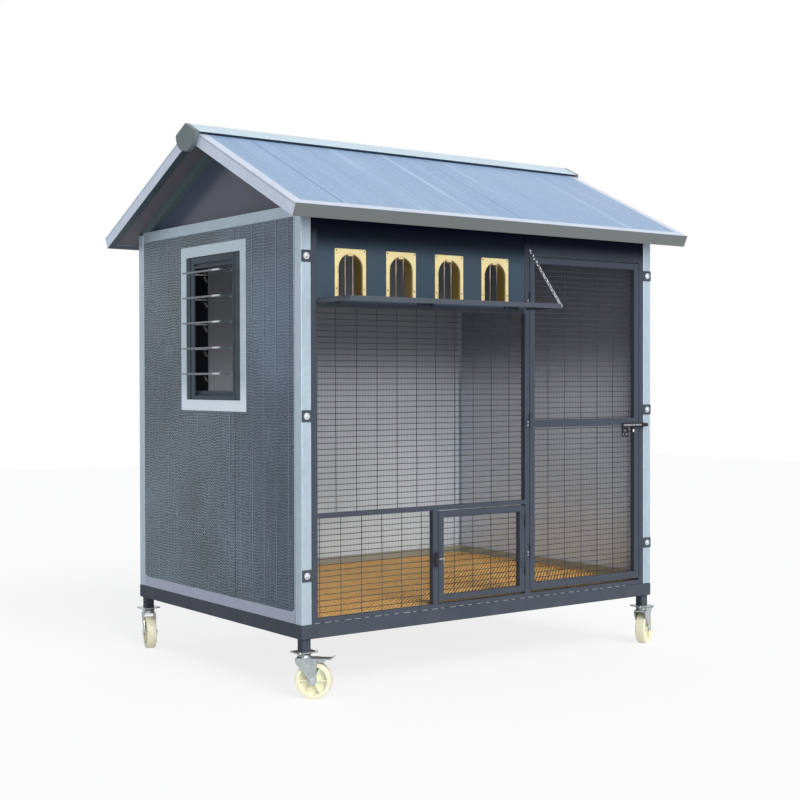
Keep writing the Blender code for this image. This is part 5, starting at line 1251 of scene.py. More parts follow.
def door_hinges(shape, x, towards, heights):
    """The door's half of each hinge: upper knuckle and leaf."""
    for height in heights:
        xs = sorted((x + towards * 0.001, x + towards * 0.020))
        hinge_leaf(shape, xs, (height + 0.0005, height + KNUCKLE), 0.003)
        knuckle(shape, x, height + 0.0003, height + KNUCKLE)


def door_frame(shape, opening, stile, rails):
    """Two stiles and the rails between them, welded at their corners."""
    left, right, foot, head = opening
    inside = (left + stile, right - stile)
    for x in (left, right - stile):
        tube(shape, (x, 0, foot), (x + stile, FRAME_DEPTH, head), "Z")
    for low, high in rails:
        tube(shape, (inside[0] - LAP, 0.0002, low), (inside[1] + LAP, FRAME_DEPTH - 0.0002, high), "X")
        corner_beads(shape, inside, low, high)


def big_door():
    """The door's frame with its mid rail, and the slide bolt in its sleeves."""
    shape = bmesh.new()
    _, right, foot, head = DOOR
    middle = (DOOR_MID_RAIL, DOOR_MID_RAIL + DOOR_RAIL)
    door_frame(shape, DOOR, DOOR_STILE, ((foot, foot + DOOR_RAIL), middle, (head - DOOR_STILE, head)))
    door_hinges(shape, DOOR_PIVOT, 1, HINGE_HEIGHTS)
    piece("door_tubes", shape, FRAME_PAINT, body="door", stands_for=["door_frame"])

    shape, bore = bmesh.new(), bmesh.new()
    start, stop = 1.8029, right - 0.001
    y, z = BOLT_AXIS, BOLT_HEIGHT
    prism(shape, rounded((start, stop), (z - 0.011, z + 0.011), 0.003), "Y", -0.004, -0.0001)
    hasp = rounded((start + 0.001, start + 0.040), (z - 0.055, z - 0.008), 0.005)
    prism(shape, hasp, "Y", -0.003, 0.0015)
    for x in (start + 0.002, start + 0.052, stop - 0.012):
        rod(shape, (x, y, z), (x + 0.012, y, z), 0.009, 20)
        bar(shape, (x, y, z - 0.008), (x + 0.012, -0.003, z + 0.008), 0.0008)
    rod(bore, (start - 0.002, y, z), (stop + 0.002, y, z), 0.0054, 20)
    piece("bolt_sleeves", shape, BLACK_STEEL, body="door", slot="black_fitting", holes=bore)
    rivets = ((0.010, 0.044), (0.030, 0.044), (0.020, 0.026))
    points = [(start + along, -0.003, z - drop) for along, drop in rivets]
    heads("hasp_rivets", (0.003, 0.0018, 0.0042), BOLT_STEEL, points, body="door")

    shape = bmesh.new()
    shoulder, tip = 1.9232, 1.9249
    rod(shape, (start, y, z), (shoulder, y, z), 0.005, 20)
    rod(shape, (shoulder, y, z), (tip, y, z), 0.005, 20, 0.0036)
    x = tip - 0.057
    piece("bolt_rod", shape, BOLT_STEEL, body="bolt", slot="zinc_steel", stands_for=["door_bolt"])
    shape = bmesh.new()
    rod(shape, (x, y, z), (x, y, z - 0.022), 0.0035, 14)
    for along in (-0.012, 0.012):
        rod(shape, (x + along - 0.002, y, z), (x + along + 0.002, y, z), 0.0053, 18)
    piece("bolt_handle", shape, BLACK_STEEL, body="bolt", slot="black_fitting")
    shape = bmesh.new()
    rod(shape, (x, y, z - 0.021), (x, y, z - 0.030), 0.0036, 14, 0.0058)
    rod(shape, (x, y, z - 0.030), (x, y, z - 0.0338), 0.0058, 14, 0.003)
    piece("bolt_handle_tip", shape, BRIGHT_STEEL, body="bolt", slot="zinc_steel")


def small_door():
    """The little door's frame, its strike, and the turn latch on the divider."""
    shape = bmesh.new()
    left, _, foot, head = SMALL_DOOR
    rails = [(low, low + SMALL_RAIL) for low in (foot, head - SMALL_RAIL)]
    door_frame(shape, SMALL_DOOR, SMALL_STILE, rails)
    door_hinges(shape, SMALL_PIVOT, -1, SMALL_HINGE_HEIGHTS)
    piece("small_door_tubes", shape, FRAME_PAINT, body="small_door", stands_for=["small_door_frame"])
    shape = bmesh.new()
    z = LATCH_HEIGHT
    rod(shape, (left + 0.001, -0.0008, z), (left + 0.027, -0.0008, z), 0.0022, 12)
    rod(shape, (left + 0.026, -0.0030, z), (left + 0.026, 0.001, z), 0.0035, 12)
    piece("latch_strike", shape, BRIGHT_STEEL, body="small_door", slot="zinc_steel")

    shape = bmesh.new()
    x = (DIVIDER_LEFT + DIVIDER_RIGHT) / 2
    outline = rounded((x - 0.013, x + 0.013), (z - 0.0315, z + 0.0315), 0.0129, 10)
    prism(shape, outline, "Y", -0.0085, -0.0045)
    raised = rounded((x - 0.006, x + 0.006), (z - 0.026, z + 0.026), 0.0058, 8)
    prism(shape, raised, "Y", -0.0113, -0.0080)
    piece("turn_latch", shape, BLACK_STEEL, body="latch", slot="black_fitting",
          stands_for=["small_door_latch"])
    heads("latch_screw", (0.0042, 0.0012, 0.0058), BLACK_STEEL, [(x, -0.0112, z)], body="latch",
          slot="black_fitting")


def entrances():
    """Gold surrounds with a tunnel, a clip at the arch, four screws, and the bob wires."""
    rod_depth, wire_foot = 0.012, ENTRANCE_FOOT + 0.006
    for index, centre in enumerate(ENTRANCES, start=1):
        shape = bmesh.new()
        left, right = centre - ENTRANCE_WIDTH / 2, centre + ENTRANCE_WIDTH / 2
        foot = ENTRANCE_FOOT + GAP
        way = arch(centre, ARCH_RADIUS, foot, ARCH_SPRING)
        outside = [(left, foot), (left, ENTRANCE_TOP - 0.004), (left + 0.004, ENTRANCE_TOP),
                   (right - 0.004, ENTRANCE_TOP), (right, ENTRANCE_TOP - 0.004), (right, foot)]
        prism(shape, outside + way[::-1], "Y", 0.0004, 0.0027)
        outer = arch(centre, ARCH_RADIUS + 0.003, foot, ARCH_SPRING)
        prism(shape, outer + way[::-1], "Y", 0.0020, 0.053)
        hem = arch(centre, ARCH_RADIUS + 0.0035, foot, ARCH_SPRING)
        prism(shape, hem + way[::-1], "Y", -0.0006, 0.0006)
        bar(shape, (centre - 0.013, -0.0010, 1.4935), (centre + 0.013, 0.0100, 1.5010), 0.0008)
        piece(f"gold_surround_{index}", shape, GOLD, slot="gold_sheet",
              stands_for=[f"entrance_surround_{index}"])
        points = [(x, 0.0004, z) for x in (left + 0.008, right - 0.008) for z in (1.3585, 1.514)]
        heads(f"surround_screws_{index}", (0.0024, 0.0014, 0.0030), BLACK_STEEL, points,
              slot="black_fitting")

        shape = bmesh.new()
        y, z = rod_depth, BOB_HEIGHT
        rod(shape, (centre - 0.0245, y, z), (centre + 0.0245, y, z), 0.002, 12)
        collar = [(0.0018, -0.003), (0.0034, -0.003), (0.0034, 0.003), (0.0018, 0.003)]
        for x in (centre - 0.019, centre + 0.019):
            turned(shape, collar, 14, (x, y, z), "X")
            rod(shape, (x, y, z - 0.002), (x, y, wire_foot), 0.0015, 10)
            rod(shape, (x, y, wire_foot), (x, y, ENTRANCE_FOOT + 0.004), 0.0015, 10, 0.0008)
        piece(f"bob_wires_{index}", shape, BOB_STEEL, body=f"bobs_{index}", slot="zinc_steel",
              stands_for=[f"entrance_bobs_{index}"])


def landing_board():
    """A folded sheet with turned down lips, hinge barrels and the peg for its chain."""
    shape = bmesh.new()
    top, foot = BOARD_TOP, BOARD_TOP - BOARD_LIP
    bend = 0.003
    outline = [(BOARD_BACK, top - SHEET), (BOARD_BACK, top)]
    for step in range(5):
        angle = radians(90 + 90 * step / 4)
        outline.append((BOARD_FRONT + bend + bend * cos(angle), top - bend + bend * sin(angle)))
    outline += [(BOARD_FRONT, foot), (BOARD_FRONT + SHEET, foot), (BOARD_FRONT + SHEET, top - SHEET)]
    prism(shape, outline, "X", BOARD_LEFT, BOARD_RIGHT)
    for x in (BOARD_LEFT, BOARD_RIGHT - SHEET):
        bar(shape, (x, BOARD_FRONT + 0.001, foot), (x + SHEET, BOARD_BACK, top - 0.001), 0.0006)
    low = (BOARD_LEFT + 0.002, BOARD_FRONT + 0.002, foot)
    bar(shape, low, (BOARD_RIGHT - 0.002, BOARD_FRONT + 0.010, foot + 0.002), 0.0005)
    for centre in board_hinges():
        rod(shape, (centre - 0.030, -0.006, 1.3175), (centre + 0.030, -0.006, 1.3175), 0.0030, 14)
        bar(shape, (centre - 0.0298, -0.0225, 1.3155), (centre + 0.0298, -0.0060, 1.3190), 0.0008)
    start = Vector((BOARD_RIGHT, BOARD_FRONT + 0.008, BOARD_TOP - BOARD_LIP / 2))
    rod(shape, start - Vector((0.001, 0, 0)), start + Vector((0.0118, 0, 0)), 0.002, 12)
    piece("landing_sheet", shape, BOARD_PAINT, body="board", stands_for=["landing_board"])

    upper = Vector(CHAIN_HOOK)
    peg = start + Vector((0.0078, 0, 0))
    lower = peg + (peg - upper).normalized() * 0.0048
    along = lower - upper
    link, seat, ends = 0.026, 0.0074, 0.004
    count = 2 * round((along.length + ends - seat) / (link - seat) / 2)
    length = (along.length + ends + (count - 1) * seat) / count
    step = along.normalized() * (length - seat)
    facing = along.to_track_quat("X", "Z").to_euler()
    first = upper + along.normalized() * (length - ends) / 2
    inputs = {
        "Count": count, "Start": tuple(first), "Step": tuple(step), "Facing": tuple(facing),
        "Long": length, "Wide": 0.014, "Wire": 0.002, "Steel": BRIGHT_STEEL,
    }
    repeated("welded_chain", LINKS, inputs, BRIGHT_STEEL, slot="zinc_steel", stands_for=["board_chain"])


def window():
    """Mitred sheet trim, a stepped frame through the wall, and glass louvres in metal clips."""
    low, high, foot, top = WINDOW
    shape = bmesh.new()
    half = WINDOW_TRIM / 2
    corners = [(0.003, high - half, foot + half), (0.003, low + half, foot + half),
               (0.003, low + half, top - half), (0.003, high - half, top - half)]
    outline = [(-half, 0.0), (-half, 0.0028), (-half + 0.0008, 0.0035),
               (half - 0.0008, 0.0035), (half, 0.0028), (half, 0.0)]
    sweep(shape, outline, corners, (-1, 0, 0), closed=True)
    piece("window_trim_sheet", shape, TRIM_ZINC, slot="zinc_sheet", stands_for=["window_trim"])

    shape = bmesh.new()
    y0, y1, z0, z1 = WINDOW_OPENING
    edge = (low + WINDOW_TRIM, high - WINDOW_TRIM, foot + WINDOW_TRIM, top - WINDOW_TRIM)
    steps = ((0.0, 0.030, 0.004), (0.030, 0.034, 0.009), (0.034, 0.060, 0.006), (0.060, 0.072, 0.004))
    for side, jamb in ((1, edge[0]), (-1, edge[1])):
        for near, far, front in steps:
            ys = sorted((jamb + side * near, jamb + side * far))
            bar(shape, (front, ys[0], edge[2]), (0.074, ys[1], edge[3]), 0.0006)
    left, right, back = y0 - 0.001, y1 + 0.001, 0.0735
    bar(shape, (0.0045, left, z1 + 0.010), (back, right, edge[3]))
    bar(shape, (0.012, left, z1 - 0.002), (back, right, z1 + 0.011))
    bar(shape, (0.005, y0, z1 - 0.012), (0.020, y1, z1 - 0.0005))
    bar(shape, (0.0045, left, edge[2]), (back, right, z0 - 0.004))
    bar(shape, (0.010, left, z0 - 0.005), (back, right, z0))
    bar(shape, (0.0200, left, z0 - 0.001), (0.073, right, z0 + 0.018))
    piece("window_frame_sections", shape, WINDOW_PAINT, stands_for=["window_frame"])
    # Near black channels on the jamb reveals: a painted shade.
    shape, arms = bmesh.new(), bmesh.new()
    for y, inward in ((y0, 1), (y1, -1)):
        ys = sorted((y, y + inward * 0.0008))
        bar(shape, (0.0100, ys[0], z0 + 0.019), (0.0715, ys[1], z1 - 0.013), 0.0003)
        for height in LOUVRE_HEIGHTS:
            side = y + inward * 0.0014
            rod(arms, (0.0500, side, height - 0.012), (0.0660, side, height - 0.036), 0.0011, 8)
            rod(arms, (0.0560, side, height - 0.010), (0.0700, side, height - 0.032), 0.0008, 8)
    piece("louvre_channels", shape, SHADED_CHANNEL, slot="black_fitting")
    piece("louvre_arms", arms, BRIGHT_STEEL, slot="zinc_steel")

    reach = (y0 + 0.0032, y1 - 0.0032)
    for index, height in enumerate(LOUVRE_HEIGHTS, start=1):
        body = f"louvre_{index}"
        shape = bmesh.new()
        section = rounded((-0.0598, 0.0658), (height - 0.0025, height + 0.0025), 0.0016, 3)
        prism(shape, section, "Y", *reach)
        piece(f"glass_blade_{index}", shape, GLASS, body=body, slot="louvre_glass",
              stands_for=[f"louvre_{index}"])
        shape = bmesh.new()
        section = rounded((-0.0599, -0.0515), (height - 0.0038, height + 0.0038), 0.0016, 3)
        prism(shape, section, "Y", reach[0] + 0.062, reach[1] - 0.001)
        piece(f"blade_edge_{index}", shape, EDGE_GREY, body=body, slot="louvre_glass")
        shape = bmesh.new()
        section = rounded((-0.0599, -0.0505), (height - 0.0041, height + 0.0041), 0.0018, 3)
        prism(shape, section, "Y", reach[0] + 0.001, reach[0] + 0.064)
        for y, inward in ((reach[0], 1), (reach[1], -1)):
            ys = sorted((y - inward * 0.0004, y + inward * 0.016))
            bar(shape, (0.006, ys[0], height + 0.0024), (0.060, ys[1], height + 0.0042), 0.0006)
            bar(shape, (0.006, ys[0], height - 0.0042), (0.060, ys[1], height - 0.0024), 0.0006)
            ys = sorted((y - inward * 0.0006, y + inward * 0.0014))
            bar(shape, (0.006, ys[0], height - 0.0042), (0.060, ys[1], height + 0.0042), 0.0006)
            inner, outer = y + inward * 0.002, y - inward * 0.0028
            rod(shape, (LOUVRE_PIVOT, inner, height), (LOUVRE_PIVOT, outer, height), 0.004, 14)
        piece(f"blade_clips_{index}", shape, BLADE_STEEL, body=body, slot="zinc_steel")


def gables():
    """A recessed glossy sheet between two rafters in each gable."""
    base_height = SIDE_TOP + GAP
    lift = GAP / cos(ROOF_PITCH)
    slope = tan(ROOF_PITCH)
    middle = DEPTH / 2
    peak = RIDGE_HEIGHT - ROOF_THICKNESS / cos(ROOF_PITCH) - lift
    half = (peak - base_height) / slope
    inner_peak = peak - 0.040 / cos(ROOF_PITCH)
    inner_half = (inner_peak - base_height) / slope
    for side, outer, inward in (("left", 0.001, 1), ("right", WIDTH - 0.001, -1)):
        shape = bmesh.new()
        for turn in (-1, 1):
            outline = [(middle + turn * half, base_height), (middle, peak), (middle, inner_peak),
                       (middle + turn * inner_half, base_height)]
            prism(shape, outline, "X", *sorted((outer, outer + inward * 0.040)))
        piece(f"rafters_{side}", shape, RAFTER_PAINT, stands_for=[f"gable_panel_{side}"])
        shape = bmesh.new()
        outline = [(middle - half + 0.020, base_height), (middle, peak - 0.020 * slope),
                   (middle + half - 0.020, base_height)]
        inner = outer + inward * 0.040
        prism(shape, outline, "X", *sorted((inner - inward * 0.001, inner - inward * 0.011)))
        for turn in (-1, 1):
            start = (middle + turn * (inner_half - 0.010), base_height + 0.003)
            low = Vector((inner - inward * 0.013, *start))
            end = Vector((inner - inward * 0.013, middle, inner_peak - 0.002))
            rod(shape, low, end, 0.003, 8)
        piece(f"gable_sheet_{side}", shape, GABLE_PAINT)


def slope_point(across, lift):
    """The y and z of a point that far across from the ridge, and that far above the roof's face."""
    return (
        DEPTH / 2 + across + lift * sin(ROOF_PITCH) * (1 if across > 0 else -1),
        RIDGE_HEIGHT - abs(across) * tan(ROOF_PITCH) + lift * cos(ROOF_PITCH),
    )


def ridge():
    """A folded cap with hemmed edges, its two round-footed end plates and its screws."""
    middle = DEPTH / 2
    flap, sheet, lift, seat = 0.083, 0.003, 0.0135, 0.0026
    rise = (lift + sheet) / cos(ROOF_PITCH)
    outline = [
        slope_point(-flap, seat), slope_point(-flap, lift + sheet - 0.002),
        slope_point(-flap + 0.002, lift + sheet),
        (middle - 0.004, RIDGE_HEIGHT + rise - 0.0022), (middle, RIDGE_HEIGHT + rise - 0.0006),
        (middle + 0.004, RIDGE_HEIGHT + rise - 0.0022),
        slope_point(flap - 0.002, lift + sheet), slope_point(flap, lift + sheet - 0.002),
        slope_point(flap, seat), slope_point(flap - sheet, seat), slope_point(flap - sheet, lift),
        (middle, RIDGE_HEIGHT + lift / cos(ROOF_PITCH)),
        slope_point(-flap + sheet, lift), slope_point(-flap + sheet, seat),
    ]
    start, end = -ROOF_OVERHANG - GAP, WIDTH + ROOF_OVERHANG + GAP
    shape = bmesh.new()
    prism(shape, outline, "X", start - 0.0005, end + 0.0005)
    piece("ridge_sheet", shape, RIDGE_ZINC, slot="zinc_sheet", stands_for=["ridge_cap"])
    # The hems are dark strips: a painted shade under the cap's edges.
    shape = bmesh.new()
    near, far, head = flap - 0.002, flap + 0.0008, lift - 0.001
    for turn in (-1, 1):
        hem = [(near, seat), (far, seat), (far, head), (near, head)]
        hem = [slope_point(turn * across, height) for across, height in hem]
        prism(shape, hem, "X", start + 0.001, end - 0.001)
    piece("ridge_hem", shape, SHADOW_LINE, slot="zinc_sheet")

    shoulder = slope_point(flap, lift + sheet)
    half = shoulder[0] - middle
    drop = shoulder[1] - (RIDGE_HEIGHT + rise - 0.122)
    plate = [slope_point(-flap, lift + sheet), (middle, RIDGE_HEIGHT + rise), shoulder]
    for step in range(1, 24):
        angle = pi * step / 24
        plate.append((middle + half * cos(angle), shoulder[1] - drop * sin(angle)))
    share, below = 0.95, 0.030
    inner = [
        (middle + (y - middle) * share, RIDGE_HEIGHT - below + (z - RIDGE_HEIGHT + below) * share)
        for y, z in plate
    ]
    shape = bmesh.new()
    for face, back in ((start - 0.021, start), (end + 0.021, end)):
        towards = 1 if back > face else -1
        loft(shape, [
            [(back, y, z) for y, z in plate],
            [(face + towards * 0.002, y, z) for y, z in plate],
            [(face, y, z) for y, z in inner],
        ])
    piece("ridge_ends", shape, END_PAINT, slot="zinc_sheet")

    screws = 8
    for side, turn in (("front", -1), ("rear", 1)):
        y, z = slope_point(turn * (flap - 0.018), lift + sheet)
        points = [(-0.04 + (WIDTH + 0.08) * index / (screws - 1), y, z) for index in range(screws)]
        heads(f"ridge_screws_{side}", (0.0045, 0.0024, 0.007), BRIGHT_STEEL, points,
              facing=(-turn * ROOF_PITCH, 0.0, 0.0))


def roof_films():
    """The profiled skin on each slope, in lengths with a dark joint between them."""
    ends = (-ROOF_OVERHANG + ROOF_LIP, *ROOF_SEAMS, WIDTH + ROOF_OVERHANG - ROOF_LIP)
    joint = 0.0016
    for side in ("front", "rear"):
        turn = pi if side == "front" else 0.0
        place = Matrix.Translation((WIDTH / 2, DEPTH / 2, RIDGE_HEIGHT)) @ Matrix.Rotation(turn, 4, "Z")
        place = place @ Matrix.Rotation(-ROOF_PITCH, 4, "X")
        films, joints = bmesh.new(), bmesh.new()
        flip = -1 if side == "front" else 1
        for left, right in zip(ends, ends[1:]):
            xs = sorted((flip * (left - WIDTH / 2 + joint), flip * (right - WIDTH / 2 - joint)))
            bar(films, (xs[0], 0.030, 0.0001), (xs[1], ROOF_RUN - ROOF_LIP, 0.0018), 0.0005)
        for seam in ROOF_SEAMS:
            x = flip * (seam - WIDTH / 2)
            bar(joints, (x - joint, 0.030, 0.0001), (x + joint, ROOF_RUN - ROOF_LIP, 0.0009), 0.0003)
        piece(f"roof_skin_{side}", films, ROOF_FILM, slot="roof_skin", place=place)
        piece(f"roof_joints_{side}", joints, SHADOW_LINE, slot="roof_skin", place=place)


def roof_folds():
    """A painted shade line under the bright lip of each verge, and beside the lip on the roof's face."""
    shape = bmesh.new()
    run = ROOF_RUN * cos(ROOF_PITCH)
    inside = (ROOF_RUN - ROOF_LIP - 0.0006) * cos(ROOF_PITCH)
    verges = (-ROOF_OVERHANG, WIDTH + ROOF_OVERHANG)
    for turn in (-1, 1):
        for x, inward in zip(verges, (1, -1)):
            under = x + inward * 0.0004
            ends = [(under, *slope_point(turn * across, -0.0045)) for across in (0.005, run - 0.003)]
            rod(shape, *ends, 0.0011, 8)
            beside = x + inward * (ROOF_LIP + 0.0006)
            ends = [(beside, *slope_point(turn * across, 0.0012)) for across in (0.080, inside)]
            rod(shape, *ends, 0.0013, 8)
        xs = (verges[0] + ROOF_LIP, verges[1] - ROOF_LIP)
        rod(shape, *[(x, *slope_point(turn * inside, 0.0012)) for x in xs], 0.0013, 8)
    piece("roof_folds", shape, FOLD_SHADE, slot="roof_skin")


def film(name, reach, top, normal, faces, finish, holes=None):
    """One wall's skin, with rounded corners."""
    shape = bmesh.new()
    prism(shape, rounded(reach, (FILM_FOOT, top), FILM_CORNER, 8), normal, *faces)
    piece(name, shape, finish, slot="wall_skin", holes=holes)


def wall_films():
    """Thin skins on the outer faces of the walls, each with a dark joint over its seam."""
    gap, lap = 0.0012, 0.002
    back, front, joint_back, joint_front = 0.0034, 0.0016, 0.0024, 0.0008
    low, high, sill, head = WINDOW
    side = (FILM_FRONT, FILM_BACK)
    hole, joint = bmesh.new(), bmesh.new()
    box(hole, (-0.01, low + lap, sill + lap), (0.01, high - lap, head - lap))
    for foot, top in ((FILM_FOOT, sill), (head, FILM_TOP)):
        bar(joint, (joint_front, PANEL_SEAM - gap, foot), (joint_back, PANEL_SEAM + gap, top), 0.0004)
    film("left_wall_skin", side, FILM_TOP, "X", (front, back), WALL_FILM, hole)
    piece("left_wall_joint", joint, SHADOW_LINE, slot="wall_skin")
    joint = bmesh.new()
    start = (WIDTH - joint_back, PANEL_SEAM - gap, FILM_FOOT)
    bar(joint, start, (WIDTH - joint_front, PANEL_SEAM + gap, FILM_TOP), 0.0004)
    film("right_wall_skin", side, FILM_TOP, "X", (WIDTH - back, WIDTH - front), WALL_FILM)
    piece("right_wall_joint", joint, SHADOW_LINE, slot="wall_skin")
    joint = bmesh.new()
    start = (WIDTH / 2 - gap, DEPTH - joint_back, FILM_FOOT)
    bar(joint, start, (WIDTH / 2 + gap, DEPTH - joint_front, REAR_FILM_TOP), 0.0004)
    reach, faces = (FILM_FRONT, WIDTH - FILM_FRONT), (DEPTH - back, DEPTH - front)
    film("rear_wall_skin", reach, REAR_FILM_TOP, "Y", faces, REAR_FILM)
    piece("rear_wall_joint", joint, SHADOW_LINE, slot="wall_skin")


def skirtings():
    """The inner lip of the foot channel, dusty and darker, seen through the front."""
    shape = bmesh.new()
    foot, top = 0.0186, 0.0560
    bar(shape, (0.052, 1.3985, foot), (1.948, 1.4045, top), 0.001)
    bar(shape, (1.9442, 0.052, foot), (1.9505, 1.398, top), 0.001)
    bar(shape, (0.0495, 0.052, foot), (0.0558, 1.398, top), 0.001)
    piece("wall_skirting", shape, SKIRTING, slot="zinc_sheet")


def wheel_profile():
    """One side of the tyre and hub, from the bore out, as (radius, along) points."""
    side = [(0.0064, 0.024), (0.0185, 0.024), (0.0190, 0.0235), (0.0190, 0.008), (0.0210, 0.006),
            (0.0540, 0.006), (0.0560, 0.008), (0.0560, 0.0205), (0.0580, 0.0225), (0.0700, 0.0225),
            (0.0735, 0.0205), (0.0750, 0.0160)]
    return side + [(radius, -along) for radius, along in reversed(side)]


def casters():
    """Each wheel with its six ribs, in its fork, at the heading seen in the photograph."""
    for corner, (x, y, heading) in CASTERS.items():
        place = Matrix.Translation((x, y, -FLOOR_DROP)) @ Matrix.Rotation(radians(heading), 4, "Z")
        hub = (CASTER_TRAIL, 0, WHEEL_RADIUS)
        shape = bmesh.new()
        turned(shape, wheel_profile(), 56, hub)
        for index in range(6):
            turn = Matrix.Translation(hub) @ Matrix.Rotation(2 * pi * index / 6, 4, "Y")
            before = set(shape.verts)
            bar(shape, (0.018, -0.0195, -0.0028), (0.057, 0.0195, 0.0028), 0.0010)
            ribs = [vert for vert in shape.verts if vert not in before]
            bmesh.ops.transform(shape, verts=ribs, matrix=turn)
        piece(f"wheel_{corner}_nylon", shape, NYLON, body=f"wheel_{corner}", slot="nylon",
              stands_for=[f"caster_wheel_{corner}"], place=place)
        fork(corner, place, corner.startswith("front"))
        top_plate(corner, x, y)
        if corner.startswith("front"):
            pedal(corner, place)


def fork(corner, place, braked):
    """Two waisted side plates under a crown and swivel head, with axle, nuts and race rings."""
    crown = FORK_CROWN
    front = 0.060 if braked else 0.045
    inner, plate = 0.0255, 0.0035
    shape = bmesh.new()
    outline = [(-0.032, crown), (-0.032, crown - 0.014), (-0.026, crown - 0.026), (0.0, 0.112),
               (0.0165, 0.092)]
    for step in range(13):
        angle = radians(205) + radians(160) * step / 12
        outline.append((CASTER_TRAIL + 0.017 * cos(angle), WHEEL_RADIUS + 0.017 * sin(angle)))
    outline += [(0.0560, 0.100), (front - 0.004, 0.132), (front, crown - 0.022), (front, crown)]
    for side in (-1, 1):
        prism(shape, outline, "Y", *sorted((side * inner, side * (inner + plate))))
    low = (-0.0315, -inner - plate + 0.0005, crown - 0.006)
    bar(shape, low, (0.034, inner + plate - 0.0005, crown - 0.0005), 0.002)
    rod(shape, (0, 0, crown - 0.002), (0, 0, crown + 0.004), 0.0285, 36)
    rod(shape, (0, 0, crown + 0.004), (0, 0, 0.17500), 0.0285, 36, 0.0255)
    x, z = CASTER_TRAIL, WHEEL_RADIUS
    rod(shape, (x, -inner - 0.002, z), (x, inner + 0.002, z), 0.006, 18)
    if braked:
        x, z = PEDAL_PIN
        rod(shape, (x, -inner - 0.001, z), (x, inner + 0.001, z), 0.003, 14)
        for side in (-1, 1):
            face = side * (inner + plate)
            rod(shape, (x, face, z), (x, face + side * 0.0015, z), 0.0055, 14)
    piece(f"fork_{corner}", shape, FORK_STEEL, body=f"swivel_{corner}", slot="zinc_steel",
          stands_for=[f"caster_fork_{corner}"], place=place)
    shape = bmesh.new()
    x, z = CASTER_TRAIL, WHEEL_RADIUS
    washer = (0.0, 0.0012, 0.0135, 28)
    nut = (0.0010, 0.0062, 0.0105, 6)
    stud = (0.0060, 0.0066, 0.0055, 16)
    for side in (-1, 1):
        face = side * (inner + plate)
        for near, far, radius, sides in (washer, nut, stud):
            rod(shape, (x, face + side * near, z), (x, face + side * far, z), radius, sides)
    piece(f"axle_nuts_{corner}", shape, BRIGHT_STEEL, body=f"swivel_{corner}", slot="zinc_steel",
          place=place)


def top_plate(corner, x, y):
    """The plate under the leg with its race and corner bolts."""
    shape = bmesh.new()
    outline = rounded((x - 0.0475, x + 0.0475), (y - 0.0375, y + 0.0375), 0.010, 6)
    prism(shape, outline, "Z", -0.1143, -0.1103)
    rod(shape, (x, y, -0.1135), (x, y, -0.1200), 0.030, 36)
    rod(shape, (x, y, -0.1200), (x, y, -0.1240), 0.030, 36, 0.0275)
    piece(f"top_plate_{corner}", shape, FORK_STEEL, slot="zinc_steel",
          stands_for=[f"caster_plate_{corner}"])
    alongs, acrosses = (-0.0375, 0.0375), (-0.0285, 0.0285)
    points = [(x + along, y + across, LEG_FOOT) for along in alongs for across in acrosses]
    heads(f"plate_bolts_{corner}", (0.0048, 0.003, 0.0075), BRIGHT_STEEL, points, facing=HERE)


def pedal(corner, place):
    """The brake pedal: a pressed foot plate with a turned up tip, its hub and the shoe."""
    x, z = PEDAL_PIN
    shape = bmesh.new()
    half, shoe = 0.0249, 0.1498
    outline = [
        (x - 0.006, z - 0.003), (x, z - 0.006), (x + 0.008, z - 0.006), (x + 0.008, shoe),
        (x + 0.034, shoe), (x + 0.040, z + 0.004), (0.113, z + 0.004), (0.1240, z + 0.0125),
        (0.1225, z + 0.0165), (0.111, z + 0.008), (x - 0.003, z + 0.008), (x - 0.006, z + 0.003),
    ]
    prism(shape, outline, "Y", -half, half)
    for step in range(4):
        across = 0.088 + 0.007 * step
        rod(shape, (across, -half * 0.7, z + 0.008), (across, half * 0.7, z + 0.008), 0.0012, 8)
    bore = bmesh.new()
    rod(bore, (x, -half - 0.002, z), (x, half + 0.002, z), 0.0034, 16)
    piece(f"pedal_{corner}", shape, FORK_STEEL, body=f"brake_{corner}", slot="zinc_steel",
          stands_for=[f"brake_pedal_{corner}"], place=place, holes=bore)


def refinish(node, material):
    """Gives a carried-over CAD node its new material."""
    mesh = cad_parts[node].data
    mesh.materials.clear()
    mesh.materials.append(material)


def carried_over():
    """The solids that stay in view get their finishes."""
    for side, skin in (("left", INNER_SIDE_SKIN), ("right", INNER_SIDE_SKIN), ("rear", INNER_SKIN)):
        refinish(f"{side}_wall_channels", CHANNEL_ZINC)
        refinish(f"{side}_wall_panel", skin)
    refinish("entrance_panel", PANEL_PAINT)
    for side in ("front", "rear"):
        refinish(f"roof_panel_{side}", UNDER_SKIN)
        refinish(f"roof_edging_{side}", VERGE_ZINC)


def slacken():
    """Gives the welded chain a mesh of its own."""
    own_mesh(bpy.data.objects["welded_chain"])


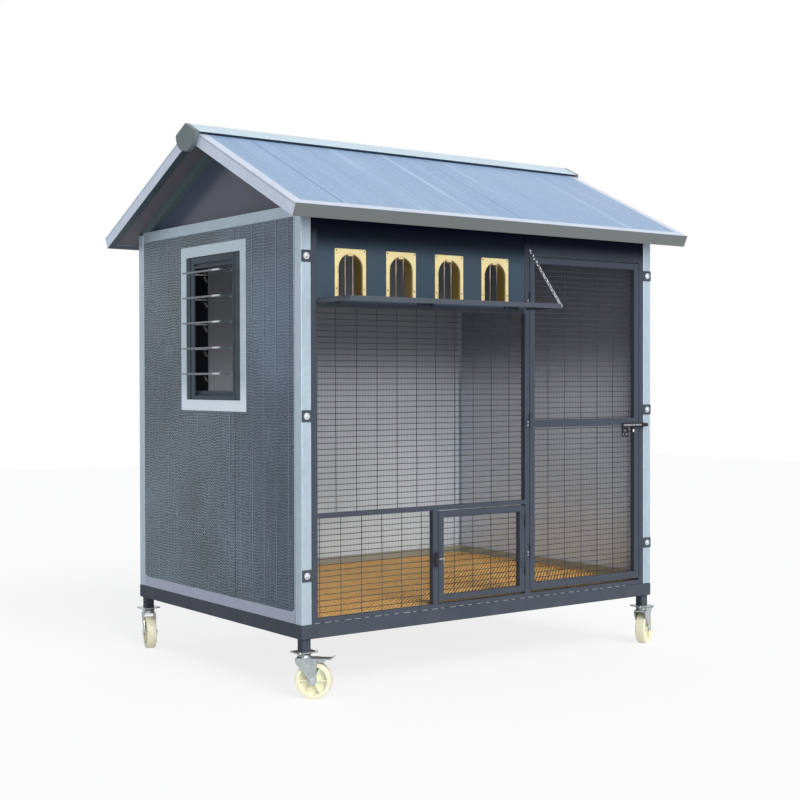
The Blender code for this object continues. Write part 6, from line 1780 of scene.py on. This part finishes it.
def stage():
    """A pale floor, plain soft light, a white background and the camera."""
    bm = bmesh.new()
    bmesh.ops.create_grid(bm, x_segments=1, y_segments=1, size=14)
    mesh = bpy.data.meshes.new("studio_floor")
    bm.to_mesh(mesh)
    bm.free()
    ground = bpy.data.objects.new("studio_floor", mesh)
    bpy.context.scene.collection.objects.link(ground)
    material, graph, shader, place = new_finish("studio floor", 0.9)
    tone = graph.noise(place, 0.4, 2.0)
    graph.put(shader.inputs["Base Color"], graph.mix(tone, (0.93, 0.93, 0.93), (0.95, 0.95, 0.95)))
    full = {"Color": (1.0, 1.0, 1.0, 1.0), "Strength": 1.0}
    glow = graph.add("ShaderNodeEmission", full).outputs[0]
    share = graph.times(graph.add("ShaderNodeLightPath").outputs["Is Camera Ray"], 0.82)
    paled = graph.add("ShaderNodeMixShader", {0: share, 1: shader.outputs[0], 2: glow}).outputs[0]
    graph.tree.links.new(paled, material.node_tree.nodes["Material Output"].inputs["Surface"])
    mesh.materials.append(material)

    scene = bpy.context.scene
    scene.view_settings.view_transform = "Standard"
    world = bpy.data.worlds.new("studio")
    world.use_nodes = True
    scene.world = world
    graph = Graph(world.node_tree)
    light = world.node_tree.nodes["Background"]
    light.inputs["Color"].default_value = (0.90, 0.95, 1.0, 1.0)
    light.inputs["Strength"].default_value = 0.43
    white = graph.add("ShaderNodeBackground", full)
    rays = graph.add("ShaderNodeLightPath").outputs
    seen = graph.math("MAXIMUM", rays["Is Camera Ray"], rays["Is Transmission Ray"])
    seen = graph.math("MAXIMUM", seen, rays["Is Glossy Ray"])
    mixed = graph.add("ShaderNodeMixShader", {0: seen, 1: light.outputs[0], 2: white.outputs[0]})
    graph.tree.links.new(mixed.outputs[0], world.node_tree.nodes["World Output"].inputs["Surface"])

    lamps = (("key", 2.0, 30, (-0.05, -0.75, 0.66)), ("low_fill", 1.0, 50, (-0.2, -0.97, 0.10)))
    for name, energy, angle, towards in lamps:
        lamp = bpy.data.lights.new(name, "SUN")
        lamp.energy = energy
        lamp.angle = radians(angle)
        lamp.color = (1.0, 0.99, 0.97)
        sun = bpy.data.objects.new(name, lamp)
        sun.rotation_euler = Vector(towards).to_track_quat("Z", "Y").to_euler()
        scene.collection.objects.link(sun)

    eye = bpy.data.cameras.new("photo_view")
    eye.lens = LENS
    eye.sensor_width = 36
    camera = bpy.data.objects.new("photo_view", eye)
    camera.location = EYE
    turn = Vector(GAZE).to_track_quat("-Z", "Y").to_matrix().to_4x4()
    camera.rotation_euler = (turn @ Matrix.Rotation(ROLL, 4, "Z")).to_euler()
    scene.collection.objects.link(camera)
    scene.camera = camera


base()
posts()
floor()
front_frame()
nets()
big_door()
small_door()
entrances()
landing_board()
window()
gables()
ridge()
roof_films()
roof_folds()
wall_films()
skirtings()
casters()
settle()
carried_over()
slacken()
stage()
